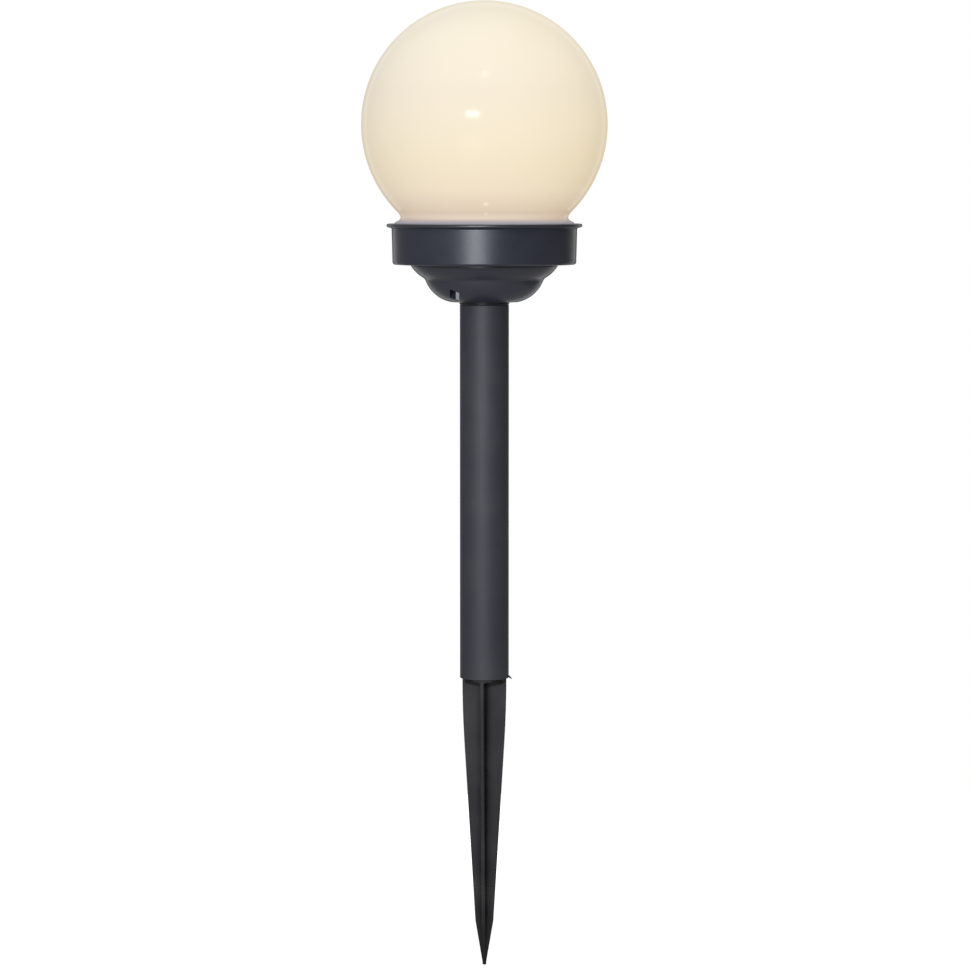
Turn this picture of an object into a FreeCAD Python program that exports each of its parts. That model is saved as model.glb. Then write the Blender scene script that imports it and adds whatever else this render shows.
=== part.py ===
"""Garden globe light on a pole with a ground spike.

Millimetres, +Z up.  The origin lies on the light's axis at the ground line, which is the
lower end of the pole tube.  The front of the light faces -Y.
"""
import FreeCAD, Part
import math
import os
import re

import Sketcher

# Driving sizes, each written once.
SIZES = {
    # pole tube
    "pole_radius": 12.0,
    "pole_wall": 1.6,
    "pole_length": 183.5,
    # gaps between pieces
    "plug_clearance": 0.2,
    "running_clearance": 0.3,
    "screw_clearance": 0.1,
    # ground spike
    "spike_radius": 10.85,
    "spike_length": 143.6,
    "spike_bow_length": 31.7,
    "spike_bow_depth": 0.95,
    "spike_knee_radius": 4.42,
    "spike_point_length": 22.1,
    "spike_tip_radius": 0.7,
    "spike_tip_curve": 0.8,
    "fin_thickness": 1.8,
    "fin_edge_round": 0.35,
    "fin_turn": -6.8,
    "shoulder_inset": 0.5,
    "shoulder_thickness": 1.2,
    "shoulder_fillet": 1.3,
    "spike_plug_length": 28.0,
    "plug_wall": 1.8,
    "plug_chamfer": 0.8,
    # pole adaptor
    "adaptor_plug_length": 24.0,
    "collar_radius": 12.2,
    "collar_height": 1.5,
    "collar_chamfer": 0.5,
    "spigot_radius": 8.0,
    "spigot_wall": 1.8,
    "spigot_length": 6.4,
    "barb_depth": 0.9,
    "barb_height": 0.8,
    "prong_gap_width": 1.4,
    # base housing, outside
    "lower_bowl_radius": 16.81,
    "lower_bowl_centre_reach": 13.12,
    "lower_bowl_centre_height": 16.4,
    "bowl_step_height": 10.75,
    "bowl_step_rise": 0.75,
    "upper_bowl_radius": 18.75,
    "upper_bowl_centre_reach": 20.21,
    "upper_bowl_centre_height": 27.71,
    "upper_bowl_reach": 35.8,
    "drum_floor_height": 18.2,
    "drum_radius": 45.3,
    "drum_draft": 0.4,
    "drum_height": 17.7,
    "drum_edge_radius": 1.3,
    "lip_radius": 47.85,
    "lip_tip_radius": 0.9,
    "lip_root_fillet": 0.35,
    "mouth_height": 19.9,
    # base housing, inside
    "housing_wall": 2.0,
    "floor_thickness": 2.2,
    "gasket_seat_height": 1.8,
    "gasket_seat_radius": 37.8,
    "seal_seat_thickness": 1.6,
    "boss_radius": 3.5,
    "boss_reach": 32.0,
    "boss_turn": 60.0,
    # gasket and carrier plate
    "gasket_height": 1.5,
    "gasket_inset": 0.3,
    "carrier_flange_thickness": 2.0,
    "turret_radius": 37.4,
    "turret_wall": 1.6,
    "turret_rise": 8.1,
    "turret_chamfer": 0.8,
    "turret_top_thickness": 2.0,
    "thread_ring_radius": 39.0,
    "thread_ring_height": 10.5,
    "well_wall": 1.0,
    "plate_screw_radius": 1.5,
    "plate_screw_head_radius": 2.8,
    "plate_screw_head_height": 2.0,
    "plate_screw_length": 7.5,
    # globe
    "globe_radius": 60.0,
    "globe_wall": 1.6,
    "neck_radius": 40.9,
    "neck_flange_radius": 43.8,
    "neck_flange_thickness": 1.8,
    "neck_flange_proud": 0.6,
    "neck_cone_rise": 1.1,
    "neck_cone_reach": 0.7,
    "neck_fillet_rise": 1.1,
    "neck_shoulder_rise": 2.6,
    "neck_shoulder_reach": 1.25,
    "skirt_radius": 41.0,
    "skirt_wall": 1.6,
    "skirt_length": 9.5,
    "seal_height": 1.8,
    "lug_depth": 1.5,
    "lug_height": 2.2,
    "lug_span": 14.0,
    "lug_turn": 20.0,
    "thread_lift": 4.0,
    "thread_turn": 60.0,
    # solar panel
    "panel_side": 40.0,
    "panel_board_thickness": 1.2,
    "panel_recess": 1.0,
    "cell_thickness": 0.2,
    "cell_gap": 0.8,
    "resin_thickness": 1.0,
    # circuit board and what is soldered to it
    "board_width": 22.0,
    "board_length": 66.0,
    "board_thickness": 1.6,
    "board_gap": 3.0,
    "board_screw_reach": 20.0,
    "board_boss_radius": 2.8,
    "board_screw_radius": 1.1,
    "board_screw_head_radius": 2.1,
    "board_screw_head_height": 1.6,
    "board_screw_length": 4.4,
    "led_radius": 2.5,
    "led_flange": 0.4,
    "led_height": 7.0,
    "led_reach": 30.0,
    "lead_width": 0.5,
    "lead_pitch": 2.54,
    "chip_length": 5.0,
    "chip_width": 4.0,
    "chip_height": 1.5,
    "coil_radius": 3.0,
    "coil_height": 3.6,
    "capacitor_radius": 2.5,
    "capacitor_height": 4.6,
    "part_reach_x": 5.0,
    "part_reach_y": 9.0,
    # battery and holder
    "cell_radius": 7.1,
    "cell_length": 50.5,
    "nub_radius": 2.75,
    "nub_length": 1.5,
    "holder_wall": 1.5,
    "holder_floor": 1.2,
    "holder_height": 12.5,
    "holder_end_room": 2.6,
    "contact_thickness": 0.4,
    "contact_width": 10.0,
    "contact_rise": 1.6,
    "bump_radius": 2.0,
    "spring_radius": 3.6,
    "spring_wire": 0.7,
    "holder_ear_width": 8.0,
    "holder_ear_thickness": 1.8,
    "holder_ear_rise": 2.0,
    "holder_ear_offset": 12.0,
    "holder_boss_radius": 3.0,
    "holder_screw_radius": 1.2,
    "holder_screw_head_radius": 2.3,
    "holder_screw_head_height": 1.5,
    "holder_screw_length": 8.0,
    # slide switch under the bowl
    "switch_reach": 23.9,
    "switch_bearing": -127.0,
    "switch_turn": -30.0,
    "window_width": 7.0,
    "switch_pad_depth": 3.4,
    "switch_pad_margin": 1.2,
    "knob_length": 1.8,
    "knob_width": 6.4,
    "knob_recess": 0.3,
    "knob_travel": 2.8,
    "knob_foot_height": 1.0,
    "frame_length": 9.6,
    "frame_width": 8.2,
    "frame_height": 3.6,
    "frame_wall": 0.4,
    "switch_base_height": 1.2,
    "terminal_length": 3.0,
    "terminal_width": 1.2,
    "terminal_thickness": 0.5,
    "terminal_pitch": 2.5,
    # wires
    "wire_radius": 0.6,
}

# Sizes worked out from the driving ones.
DERIVED = {
    "pole_bore": "pole_radius - pole_wall",
    "plug_radius": "pole_bore - plug_clearance",
    "plug_bore": "plug_radius - plug_wall",
    "spigot_bore": "spigot_radius - spigot_wall",
    "spigot_hole": "spigot_radius + running_clearance",
    "head_floor": "pole_length + collar_height",
    "bowl_step": "head_floor + bowl_step_height",
    "bowl_step_top": "bowl_step + bowl_step_rise",
    "drum_floor": "head_floor + drum_floor_height",
    "drum_floor_inside": "drum_floor + housing_wall",
    "drum_inside": "drum_radius - housing_wall",
    "lip_root": "drum_floor + drum_height",
    "mouth_level": "drum_floor + mouth_height",
    "mouth_radius": "neck_flange_radius + running_clearance",
    "flange_edge": "mouth_level + neck_flange_proud",
    "flange_floor": "flange_edge - neck_flange_thickness",
    "seal_floor": "flange_floor - seal_height",
    "seal_seat_radius": "skirt_radius + running_clearance",
    "gasket_floor": "drum_floor_inside + gasket_seat_height",
    "carrier_floor": "gasket_floor + gasket_height",
    "carrier_flange_top": "carrier_floor + carrier_flange_thickness",
    "carrier_radius": "seal_seat_radius - running_clearance",
    "thread_ring_top": "carrier_floor + thread_ring_height",
    "turret_top": "mouth_level + turret_rise",
    "turret_ceiling": "turret_top - turret_top_thickness",
    "turret_bore": "turret_radius - turret_wall",
    "plate_pilot_depth": "plate_screw_length - carrier_flange_thickness"
                         " + 2 * running_clearance",
    "well_bore": "plate_screw_head_radius + running_clearance",
    "well_radius": "well_bore + well_wall",
    "skirt_bore": "skirt_radius - skirt_wall",
    "skirt_floor": "flange_floor - skirt_length",
    "lug_tip": "skirt_bore - lug_depth",
    "lug_floor": "carrier_flange_top + lug_height",
    "slot_bore": "lug_tip - running_clearance",
    "thread_pitch": "thread_lift * 360 / thread_turn",
    "neck_level": "flange_edge + neck_cone_rise + neck_fillet_rise",
    "neck_join": "neck_level + neck_shoulder_rise",
    "neck_join_radius": "neck_radius + neck_shoulder_reach",
    "globe_centre": "neck_join + sqrt(globe_radius^2 - neck_join_radius^2)",
    "globe_bore": "globe_radius - globe_wall",
    "panel_floor": "turret_top - panel_recess",
    "cell_floor": "panel_floor + panel_board_thickness",
    "board_top": "turret_ceiling - board_gap",
    "board_floor": "board_top - board_thickness",
    "led_floor": "turret_ceiling - 2 * led_flange",
    "holder_half_width": "cell_radius + running_clearance + holder_wall",
    "holder_half_length": "cell_length / 2 + holder_end_room + holder_wall",
    "holder_corner": "sqrt(holder_half_width^2 + holder_half_length^2)",
    "holder_base": "head_floor + upper_bowl_centre_height"
                   " - sqrt((upper_bowl_radius - housing_wall)^2"
                   " - (holder_corner + running_clearance - upper_bowl_centre_reach)^2)",
    "holder_top": "holder_base + holder_height",
    "contact_height": "holder_height - holder_floor + contact_rise",
    "cell_axis": "holder_base + holder_floor + running_clearance + cell_radius",
    "holder_screw_reach": "holder_half_width + running_clearance + holder_boss_radius",
    "holder_ear_reach": "holder_screw_reach + holder_boss_radius",
    "holder_ear_floor": "holder_base + holder_ear_rise",
    "window_length": "knob_length + knob_travel + 2 * running_clearance",
    "switch_base": "switch_pad_depth + frame_height",
    "switch_depth": "switch_base + switch_base_height",
}

# Exported pieces: the file's name and the object that holds it.
PIECES = {}

document = FreeCAD.newDocument("GardenGlobeLight")
sheet = document.addObject("Spreadsheet::Sheet", "Sizes")


def fill_sheet():
    """Writes every driving size into the sheet as text, beside its name."""
    for row, (name, value) in enumerate(SIZES.items(), start=1):
        sheet.set(f"A{row}", name)
        sheet.set(f"B{row}", str(value))
        sheet.setAlias(f"B{row}", name)
    document.recompute()


def bound(text):
    """Expression for the document: names of sizes become cells, derived names are opened."""
    def opened(match):
        word = match.group()
        if word in DERIVED:
            return f"({bound(DERIVED[word])})"
        return f"Sizes.{word}" if word in SIZES else word
    return re.sub(r"[a-z][a-z_]+", opened, str(text))


def size(text):
    """Present value of an expression."""
    return float(sheet.evalExpression(bound(text)))


def bind(target, **expressions):
    """Binds properties of an object to expressions."""
    for name, text in expressions.items():
        target.setExpression(name, bound(text))
    return target


def seat(target, x="0", y="0", z="0", turn=None):
    """Places an object at a bound position, turned by a rotation."""
    if turn is not None:
        target.Placement = FreeCAD.Placement(FreeCAD.Vector(), turn)
    for name, text in zip("xyz", (x, y, z)):
        target.setExpression(f".Placement.Base.{name}", bound(text))
    return target


def piece(name, target):
    """Names the object that holds a finished piece."""
    target.Label = name
    PIECES[name] = target
    return target


def turned(degrees, axis=(0, 0, 1)):
    """Rotation about an axis."""
    return FreeCAD.Rotation(FreeCAD.Vector(*axis), degrees)


# Solids ------------------------------------------------------------------------------------

def cylinder(name, radius, height, x="0", y="0", z="0", turn=None):
    """Round bar from its lower face upwards."""
    solid = document.addObject("Part::Cylinder", name)
    bind(solid, Radius=radius, Height=height)
    return seat(solid, x, y, z, turn)


def block(name, length, width, height, x="0", y="0", z="0"):
    """Block centred on x and y, standing on z."""
    solid = document.addObject("Part::Box", name)
    bind(solid, Length=length, Width=width, Height=height)
    return seat(solid, f"{x} - ({length}) / 2", f"{y} - ({width}) / 2", z)


def joined(name, solids):
    """Union of several solids."""
    union = document.addObject("Part::MultiFuse", name)
    union.Shapes = solids
    return union


def cut(name, base, tools):
    """Base with the tools taken out of it."""
    result = document.addObject("Part::Cut", name)
    result.Base = base
    result.Tool = tools[0] if len(tools) == 1 else joined(f"{name}Tools", tools)
    return result


def group(name, solids):
    """Several separate solids of one kind in one piece."""
    compound = document.addObject("Part::Compound", name)
    compound.Links = solids
    return compound


# Sketched outlines ---------------------------------------------------------------------------

def origin_plane(body, role):
    """Origin plane of a body."""
    return next(item for item in body.Origin.OriginFeatures if item.Role == role)


def arc_between(start, end, radius):
    """Lesser arc from start to end: anticlockwise for a positive radius, else clockwise."""
    half = (end - start) * 0.5
    height = math.sqrt(max(radius * radius - half.Length ** 2, 0.0))
    side = FreeCAD.Vector(-half.y, half.x, 0).normalize()
    centre = start + half + side * math.copysign(height, radius)
    first, last = (start, end) if radius > 0 else (end, start)
    angles = [math.atan2(point.y - centre.y, point.x - centre.x) for point in (first, last)]
    if angles[1] < angles[0]:
        angles[1] += 2 * math.pi
    circle = Part.Circle(centre, FreeCAD.Vector(0, 0, 1), abs(radius))
    return Part.ArcOfCircle(circle, angles[0], angles[1])


def draw_outline(sketch, corners):
    """Closed outline.

    Each corner is (x, y) and its edge to the next corner is straight, or (x, y, radius)
    where that edge is an arc: a radius that starts with - turns clockwise.
    """
    points = [FreeCAD.Vector(size(corner[0]), size(corner[1]), 0) for corner in corners]
    ends = []
    for number, corner in enumerate(corners):
        start, end = points[number], points[(number + 1) % len(points)]
        if len(corner) == 2:
            ends.append((sketch.addGeometry(Part.LineSegment(start, end)), 1, 2))
            continue
        clockwise = corner[2].startswith("-")
        radius = size(corner[2])
        arc = sketch.addGeometry(arc_between(start, end, radius))
        ends.append((arc, 2, 1) if clockwise else (arc, 1, 2))
        fixed = sketch.addConstraint(Sketcher.Constraint("Radius", arc, abs(radius)))
        sketch.setExpression(f"Constraints[{fixed}]", bound(corner[2].lstrip("-")))
    for number, (edge, first, last) in enumerate(ends):
        following = ends[(number + 1) % len(ends)]
        sketch.addConstraint(
            Sketcher.Constraint("Coincident", edge, last, following[0], following[1]))
        for kind, text in (("DistanceX", corners[number][0]), ("DistanceY", corners[number][1])):
            fixed = sketch.addConstraint(
                Sketcher.Constraint(kind, -1, 1, edge, first, size(text)))
            sketch.setExpression(f"Constraints[{fixed}]", bound(text))


def sketch_in(body, name, corners, role="XZ_Plane"):
    """Sketch of one closed outline on a body's own origin plane."""
    sketch = body.newObject("Sketcher::SketchObject", name)
    sketch.AttachmentSupport = (origin_plane(body, role), [""])
    sketch.MapMode = "FlatFace"
    draw_outline(sketch, corners)
    return sketch


def turned_body(name, corners):
    """Body turned about Z from an outline of radii and heights."""
    body = document.addObject("PartDesign::Body", name)
    sketch = sketch_in(body, f"{name}Outline", corners)
    turning = body.newObject("PartDesign::Revolution", f"{name}Turned")
    turning.Profile = sketch
    turning.ReferenceAxis = (sketch, ["V_Axis"])
    turning.Angle = 360
    sketch.Visibility = False
    document.recompute()
    return body


def ring(name, bore, radius, floor, height):
    """Flat ring."""
    top = f"{floor} + {height}"
    return turned_body(name, [(bore, floor), (radius, floor), (radius, top), (bore, top)])


def screws(name, places, seat_level, radius, length, head_radius, head_height, upwards=False):
    """Pan-head screws whose heads sit on a level, with shanks down or up from it."""
    way = "-" if upwards else "+"
    bars = []
    for number, (x, y) in enumerate(places):
        shank_floor = seat_level if upwards else f"{seat_level} - ({length})"
        head_floor = f"{seat_level} - ({head_height})" if upwards else seat_level
        shank = cylinder(f"{name}Shank{number}", radius, length, x, y, shank_floor)
        head = cylinder(f"{name}Head{number}", head_radius, head_height, x, y, head_floor)
        drive = block(f"{name}Drive{number}", f"{head_radius} * 1.2", f"{head_radius} * 0.3",
                      f"{head_height} / 2", x, y,
                      f"{seat_level} {way} {head_height}" + (
                          "" if upwards else f" - {head_height} / 2"))
        bars.append(cut(f"{name}{number}", joined(f"{name}Bar{number}", [shank, head]), [drive]))
    return piece(name, group(f"{name}Group", bars))


# Places of what is repeated ------------------------------------------------------------------

BOSS_PLACES = [
    (f"boss_reach * cos(boss_turn + {step})", f"boss_reach * sin(boss_turn + {step})")
    for step in (0, 120, 240)
]
HOLDER_SCREW_PLACES = [
    (f"{sign}holder_screw_reach", f"{back}holder_ear_offset")
    for sign, back in (("-", ""), ("", "-"))
]
BOARD_SCREW_PLACES = [("0", f"{sign}board_screw_reach") for sign in ("-", "")]
LED_PLACES = [("0", f"{sign}led_reach") for sign in ("-", "")]


# Pole and spike ------------------------------------------------------------------------------

def make_pole_tube():
    """Round tube between the spike and the head."""
    piece("pole_tube", ring("PoleTube", "pole_bore", "pole_radius", "0", "pole_length"))


def edges_where(shape, test):
    """Names of the edges of a shape for which a test holds."""
    return [f"Edge{number}" for number, edge in enumerate(shape.Edges, start=1) if test(edge)]


def make_ground_spike():
    """Four-fin spike with a shoulder disc under the tube and a hollow plug in it."""
    body = document.addObject("PartDesign::Body", "GroundSpike")
    bow_radius = "(spike_bow_length^2 + spike_bow_depth^2) / (2 * spike_bow_depth)"
    bow_end = "spike_radius - spike_bow_depth"
    knee = "spike_point_length - spike_length"
    tip_end = ("spike_tip_curve - sqrt(spike_tip_curve^2 - spike_tip_radius^2)"
               " - spike_length")
    fins = sketch_in(body, "FinOutline", [
        ("spike_radius", "0"),
        ("-spike_radius", "0", bow_radius),
        (f"-({bow_end})", "-spike_bow_length"),
        ("-spike_knee_radius", knee),
        ("-spike_tip_radius", tip_end, "spike_tip_curve"),
        ("spike_tip_radius", tip_end),
        ("spike_knee_radius", knee),
        (bow_end, "-spike_bow_length", bow_radius),
    ])
    pad = body.newObject("PartDesign::Pad", "Fin")
    pad.Profile = fins
    pad.SideType = "Symmetric"
    bind(pad, Length="fin_thickness")
    document.recompute()
    rounding = body.newObject("PartDesign::Fillet", "FinEdges")
    rounding.Base = (pad, edges_where(
        pad.Shape, lambda edge: edge.BoundBox.YLength < 1e-6 and edge.BoundBox.ZMin < -1e-3))
    bind(rounding, Radius="fin_edge_round")
    document.recompute()
    crossing = body.newObject("PartDesign::PolarPattern", "FourFins")
    crossing.Originals = [pad, rounding]
    crossing.Axis = (fins, ["V_Axis"])
    crossing.Angle = 90
    crossing.Occurrences = 2
    body.Tip = crossing
    document.recompute()
    top = sketch_in(body, "PlugOutline", [
        ("0", "-shoulder_thickness"),
        ("spike_radius - shoulder_inset", "-shoulder_thickness"),
        ("spike_radius - shoulder_inset", "0"),
        ("plug_radius", "0"),
        ("plug_radius", "spike_plug_length - plug_chamfer"),
        ("plug_radius - plug_chamfer", "spike_plug_length"),
        ("plug_bore", "spike_plug_length"),
        ("plug_bore", "0"),
        ("0", "0"),
    ])
    plug = body.newObject("PartDesign::Revolution", "ShoulderAndPlug")
    plug.Profile = top
    plug.ReferenceAxis = (top, ["V_Axis"])
    plug.Angle = 360
    document.recompute()
    under = -size("shoulder_thickness")
    blend = body.newObject("PartDesign::Fillet", "ShoulderFillet")
    blend.Base = (plug, edges_where(plug.Shape, lambda edge: (
        abs(edge.BoundBox.ZMin - under) < 1e-4 and abs(edge.BoundBox.ZMax - under) < 1e-4
        and isinstance(edge.Curve, Part.Line) and edge.Length > size("fin_thickness"))))
    bind(blend, Radius="shoulder_fillet")
    piece("ground_spike", seat(body, turn=turned(SIZES["fin_turn"])))


def make_pole_adaptor():
    """Collar with a plug down into the tube and a split, barbed spigot up into the head."""
    spigot_top = "head_floor + spigot_length"
    barb_floor = "head_floor + floor_thickness + running_clearance"
    body = turned_body("AdaptorTurned", [
        ("plug_bore", "pole_length - adaptor_plug_length"),
        ("plug_radius - plug_chamfer", "pole_length - adaptor_plug_length"),
        ("plug_radius", "pole_length - adaptor_plug_length + plug_chamfer"),
        ("plug_radius", "pole_length"),
        ("collar_radius - collar_chamfer", "pole_length"),
        ("collar_radius", "pole_length + collar_chamfer"),
        ("collar_radius", "head_floor"),
        ("spigot_radius", "head_floor"),
        ("spigot_radius", barb_floor),
        ("spigot_radius + barb_depth", f"{barb_floor} + barb_height / 3"),
        ("spigot_radius + barb_depth", f"{barb_floor} + barb_height"),
        ("spigot_radius - barb_depth", spigot_top),
        ("spigot_bore", spigot_top),
        ("spigot_bore", "pole_length - collar_height"),
        ("plug_bore", "pole_length - collar_height - plug_wall"),
    ])
    slots = [
        block(f"ProngSlot{number}", length, width, "spigot_length", z="head_floor + collar_height")
        for number, (length, width) in enumerate((
            ("4 * spigot_radius", "prong_gap_width"), ("prong_gap_width", "4 * spigot_radius")))
    ]
    piece("pole_adaptor", cut("Adaptor", body, slots))


# Base housing --------------------------------------------------------------------------------

def bowl_reach(bowl, level, inset="0"):
    """Radius at which a bowl's arc, moved inwards by an inset, crosses a level over the floor."""
    return (f"{bowl}_bowl_centre_reach + sqrt(({bowl}_bowl_radius - {inset})^2"
            f" - ({bowl}_bowl_centre_height - ({level}))^2)")


def bowl_level(bowl, reach, inset="0"):
    """Height at which a bowl's arc, moved inwards by an inset, crosses a radius."""
    return (f"head_floor + {bowl}_bowl_centre_height - sqrt(({bowl}_bowl_radius - {inset})^2"
            f" - (({reach}) - {bowl}_bowl_centre_reach)^2)")


def make_housing_block():
    """Outside of the base housing as a filled block: two bowls, a drum and its rim lip."""
    lip_tip = "lip_radius - lip_tip_radius"
    lip_centre = "mouth_level - lip_tip_radius"
    return turned_body("HousingBlock", [
        ("0", "head_floor"),
        (bowl_reach("lower", "0"), "head_floor", "lower_bowl_radius"),
        (bowl_reach("lower", "bowl_step_height"), "bowl_step"),
        (bowl_reach("upper", "bowl_step_height + bowl_step_rise"), "bowl_step_top",
         "upper_bowl_radius"),
        ("upper_bowl_reach", bowl_level("upper", "upper_bowl_reach")),
        ("upper_bowl_reach", "drum_floor"),
        ("drum_radius - drum_draft - drum_edge_radius", "drum_floor", "drum_edge_radius"),
        ("drum_radius - drum_draft", "drum_floor + drum_edge_radius"),
        ("drum_radius", "lip_root - lip_root_fillet", "-lip_root_fillet"),
        ("drum_radius + lip_root_fillet", "lip_root"),
        (lip_tip, f"{lip_centre} - lip_tip_radius", "lip_tip_radius * 1.001"),
        (lip_tip, f"{lip_centre} + lip_tip_radius"),
        ("mouth_radius", "mouth_level"),
        ("0", "mouth_level"),
    ])


def make_housing_cavity():
    """Space inside the housing, with a seat for the gasket and one for the neck seal."""
    step = "bowl_step_height + bowl_step_rise + housing_wall / 2"
    seat_floor = "seal_floor - seal_seat_thickness"
    seat_depth = "(drum_inside - seal_seat_radius)"
    return turned_body("HousingCavity", [
        ("0", "head_floor + floor_thickness"),
        (bowl_reach("lower", "floor_thickness", "housing_wall"), "head_floor + floor_thickness",
         "lower_bowl_radius - housing_wall"),
        (bowl_reach("lower", step, "housing_wall"), f"head_floor + {step}"),
        (bowl_reach("upper", step, "housing_wall"), f"head_floor + {step}",
         "upper_bowl_radius - housing_wall"),
        (bowl_reach("upper", "drum_floor_height + housing_wall", "housing_wall"),
         "drum_floor_inside"),
        ("gasket_seat_radius", "drum_floor_inside"),
        ("gasket_seat_radius", "gasket_floor"),
        ("drum_inside - drum_draft", "gasket_floor"),
        ("drum_inside", f"{seat_floor} - {seat_depth}"),
        ("seal_seat_radius", seat_floor),
        ("seal_seat_radius", "seal_floor"),
        ("mouth_radius", "seal_floor"),
        ("mouth_radius", "mouth_level + mouth_height"),
        ("0", "mouth_level + mouth_height"),
    ])


def switch_frame():
    """Slide switch's own frame: bound start and three unit axes, and their rotation.

    w runs out along the bowl's normal from the point of the lower bowl that lies under the
    middle of the switch.  u and v lie across it, turned about w so that v runs straight back
    and up.
    """
    lean = "asin((switch_reach - lower_bowl_centre_reach) / lower_bowl_radius)"
    rotation = (turned(size("switch_bearing + 90")) * turned(180 - size(lean), (1, 0, 0))
                * turned(SIZES["switch_turn"]))
    axes = [rotation.multVec(FreeCAD.Vector(*axis)) for axis in ((1, 0, 0), (0, 1, 0), (0, 0, 1))]
    start = ("switch_reach * cos(switch_bearing)", "switch_reach * sin(switch_bearing)",
             bowl_level("lower", "switch_reach"))
    return start, axes, rotation


def switch_place(u, v, w):
    """Expressions for the three coordinates of a point in the slide switch's frame."""
    start, axes, _ = switch_frame()
    return [
        origin + "".join(f" + {axis[number]:.9f} * ({step})" for axis, step in zip(axes, (u, v, w)))
        for number, origin in enumerate(start)
    ]


def switch_block(name, length, width, top, floor, u="0"):
    """Block in the switch's frame between two depths, centred on u and on the v axis."""
    solid = document.addObject("Part::Box", name)
    bind(solid, Length=length, Width=width, Height=f"({top}) - ({floor})")
    corner = switch_place(f"{u} - ({length}) / 2", f"-({width}) / 2", floor)
    return seat(solid, *corner, turn=switch_frame()[2])


def make_base_housing():
    """Drum on a stepped bowl, with screw bosses, the switch's pad and its window."""
    bosses = [
        cylinder(f"PlateBoss{number}", "boss_radius", "carrier_floor - head_floor",
                 x, y, "head_floor")
        for number, (x, y) in enumerate(BOSS_PLACES)
    ] + [
        cylinder(f"HolderBoss{number}", "holder_boss_radius", "holder_ear_floor - head_floor",
                 x, y, "head_floor")
        for number, (x, y) in enumerate(HOLDER_SCREW_PLACES)
    ]
    pad_length = "frame_length + 2 * switch_pad_margin"
    pad_width = "frame_width + 2 * switch_pad_margin"
    pad = switch_block("SwitchPad", pad_length, pad_width, "switch_pad_depth",
                       "-switch_pad_depth")
    cavity = cut("Cavity", make_housing_cavity(), bosses + [pad])
    plate_pilots = [
        cylinder(f"PlatePilot{number}", "plate_screw_radius + screw_clearance",
                 "plate_pilot_depth", x, y, "carrier_floor - plate_pilot_depth")
        for number, (x, y) in enumerate(BOSS_PLACES)
    ]
    holder_pilots = [
        cylinder(f"HolderPilot{number}", "holder_screw_radius + screw_clearance",
                 "holder_screw_length", x, y, "holder_ear_floor - holder_screw_length")
        for number, (x, y) in enumerate(HOLDER_SCREW_PLACES)
    ]
    hole = cylinder("SpigotHole", "spigot_hole", "3 * floor_thickness",
                    z="head_floor - floor_thickness")
    window = switch_block("SwitchWindow", "window_length", "window_width",
                          "switch_pad_depth", "-2 * switch_pad_depth")
    switch_room = switch_block("SwitchRoom", "frame_length + 2 * running_clearance",
                               "frame_width + 2 * running_clearance", "-switch_pad_depth",
                               "-(switch_depth)")
    piece("base_housing", cut("Housing", make_housing_block(),
                              [cavity, hole, window, switch_room] + plate_pilots
                              + holder_pilots))


def make_seals():
    """Gasket under the carrier plate and the seal under the globe's flange."""
    piece("housing_gasket", ring("Gasket", "gasket_seat_radius + gasket_inset",
                                 "carrier_radius - gasket_inset", "gasket_floor",
                                 "gasket_height"))
    piece("neck_seal", ring("NeckSeal", "seal_seat_radius + gasket_inset / 3",
                            "neck_flange_radius - gasket_inset / 3", "seal_floor",
                            "seal_height"))


# Carrier plate and globe ---------------------------------------------------------------------

def lead(body, name, corners, start_turn, sweep, subtract):
    """Part of a coarse thread on or in a body, repeated three times round the axis.

    The outline of radii and heights starts at an angle from +X and climbs with the thread.
    """
    sketch = body.newObject("Sketcher::SketchObject", f"{name}Section")
    sketch.AttachmentSupport = (origin_plane(body, "XZ_Plane"), [""])
    sketch.MapMode = "FlatFace"
    sketch.AttachmentOffset = FreeCAD.Placement(
        FreeCAD.Vector(), turned(size(start_turn), (0, 1, 0)))
    draw_outline(sketch, corners)
    kind = "SubtractiveHelix" if subtract else "AdditiveHelix"
    helix = body.newObject(f"PartDesign::{kind}", name)
    helix.Profile = sketch
    helix.ReferenceAxis = (sketch, ["V_Axis"])
    helix.Mode = "pitch-height-angle"
    bind(helix, Pitch="thread_pitch", Height=f"thread_pitch * ({sweep}) / 360")
    document.recompute()
    pattern = body.newObject("PartDesign::PolarPattern", f"{name}Starts")
    pattern.Originals = [helix]
    pattern.Axis = (sketch, ["V_Axis"])
    pattern.Angle = 360
    pattern.Occurrences = 3
    body.Tip = pattern
    document.recompute()
    return pattern


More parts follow.
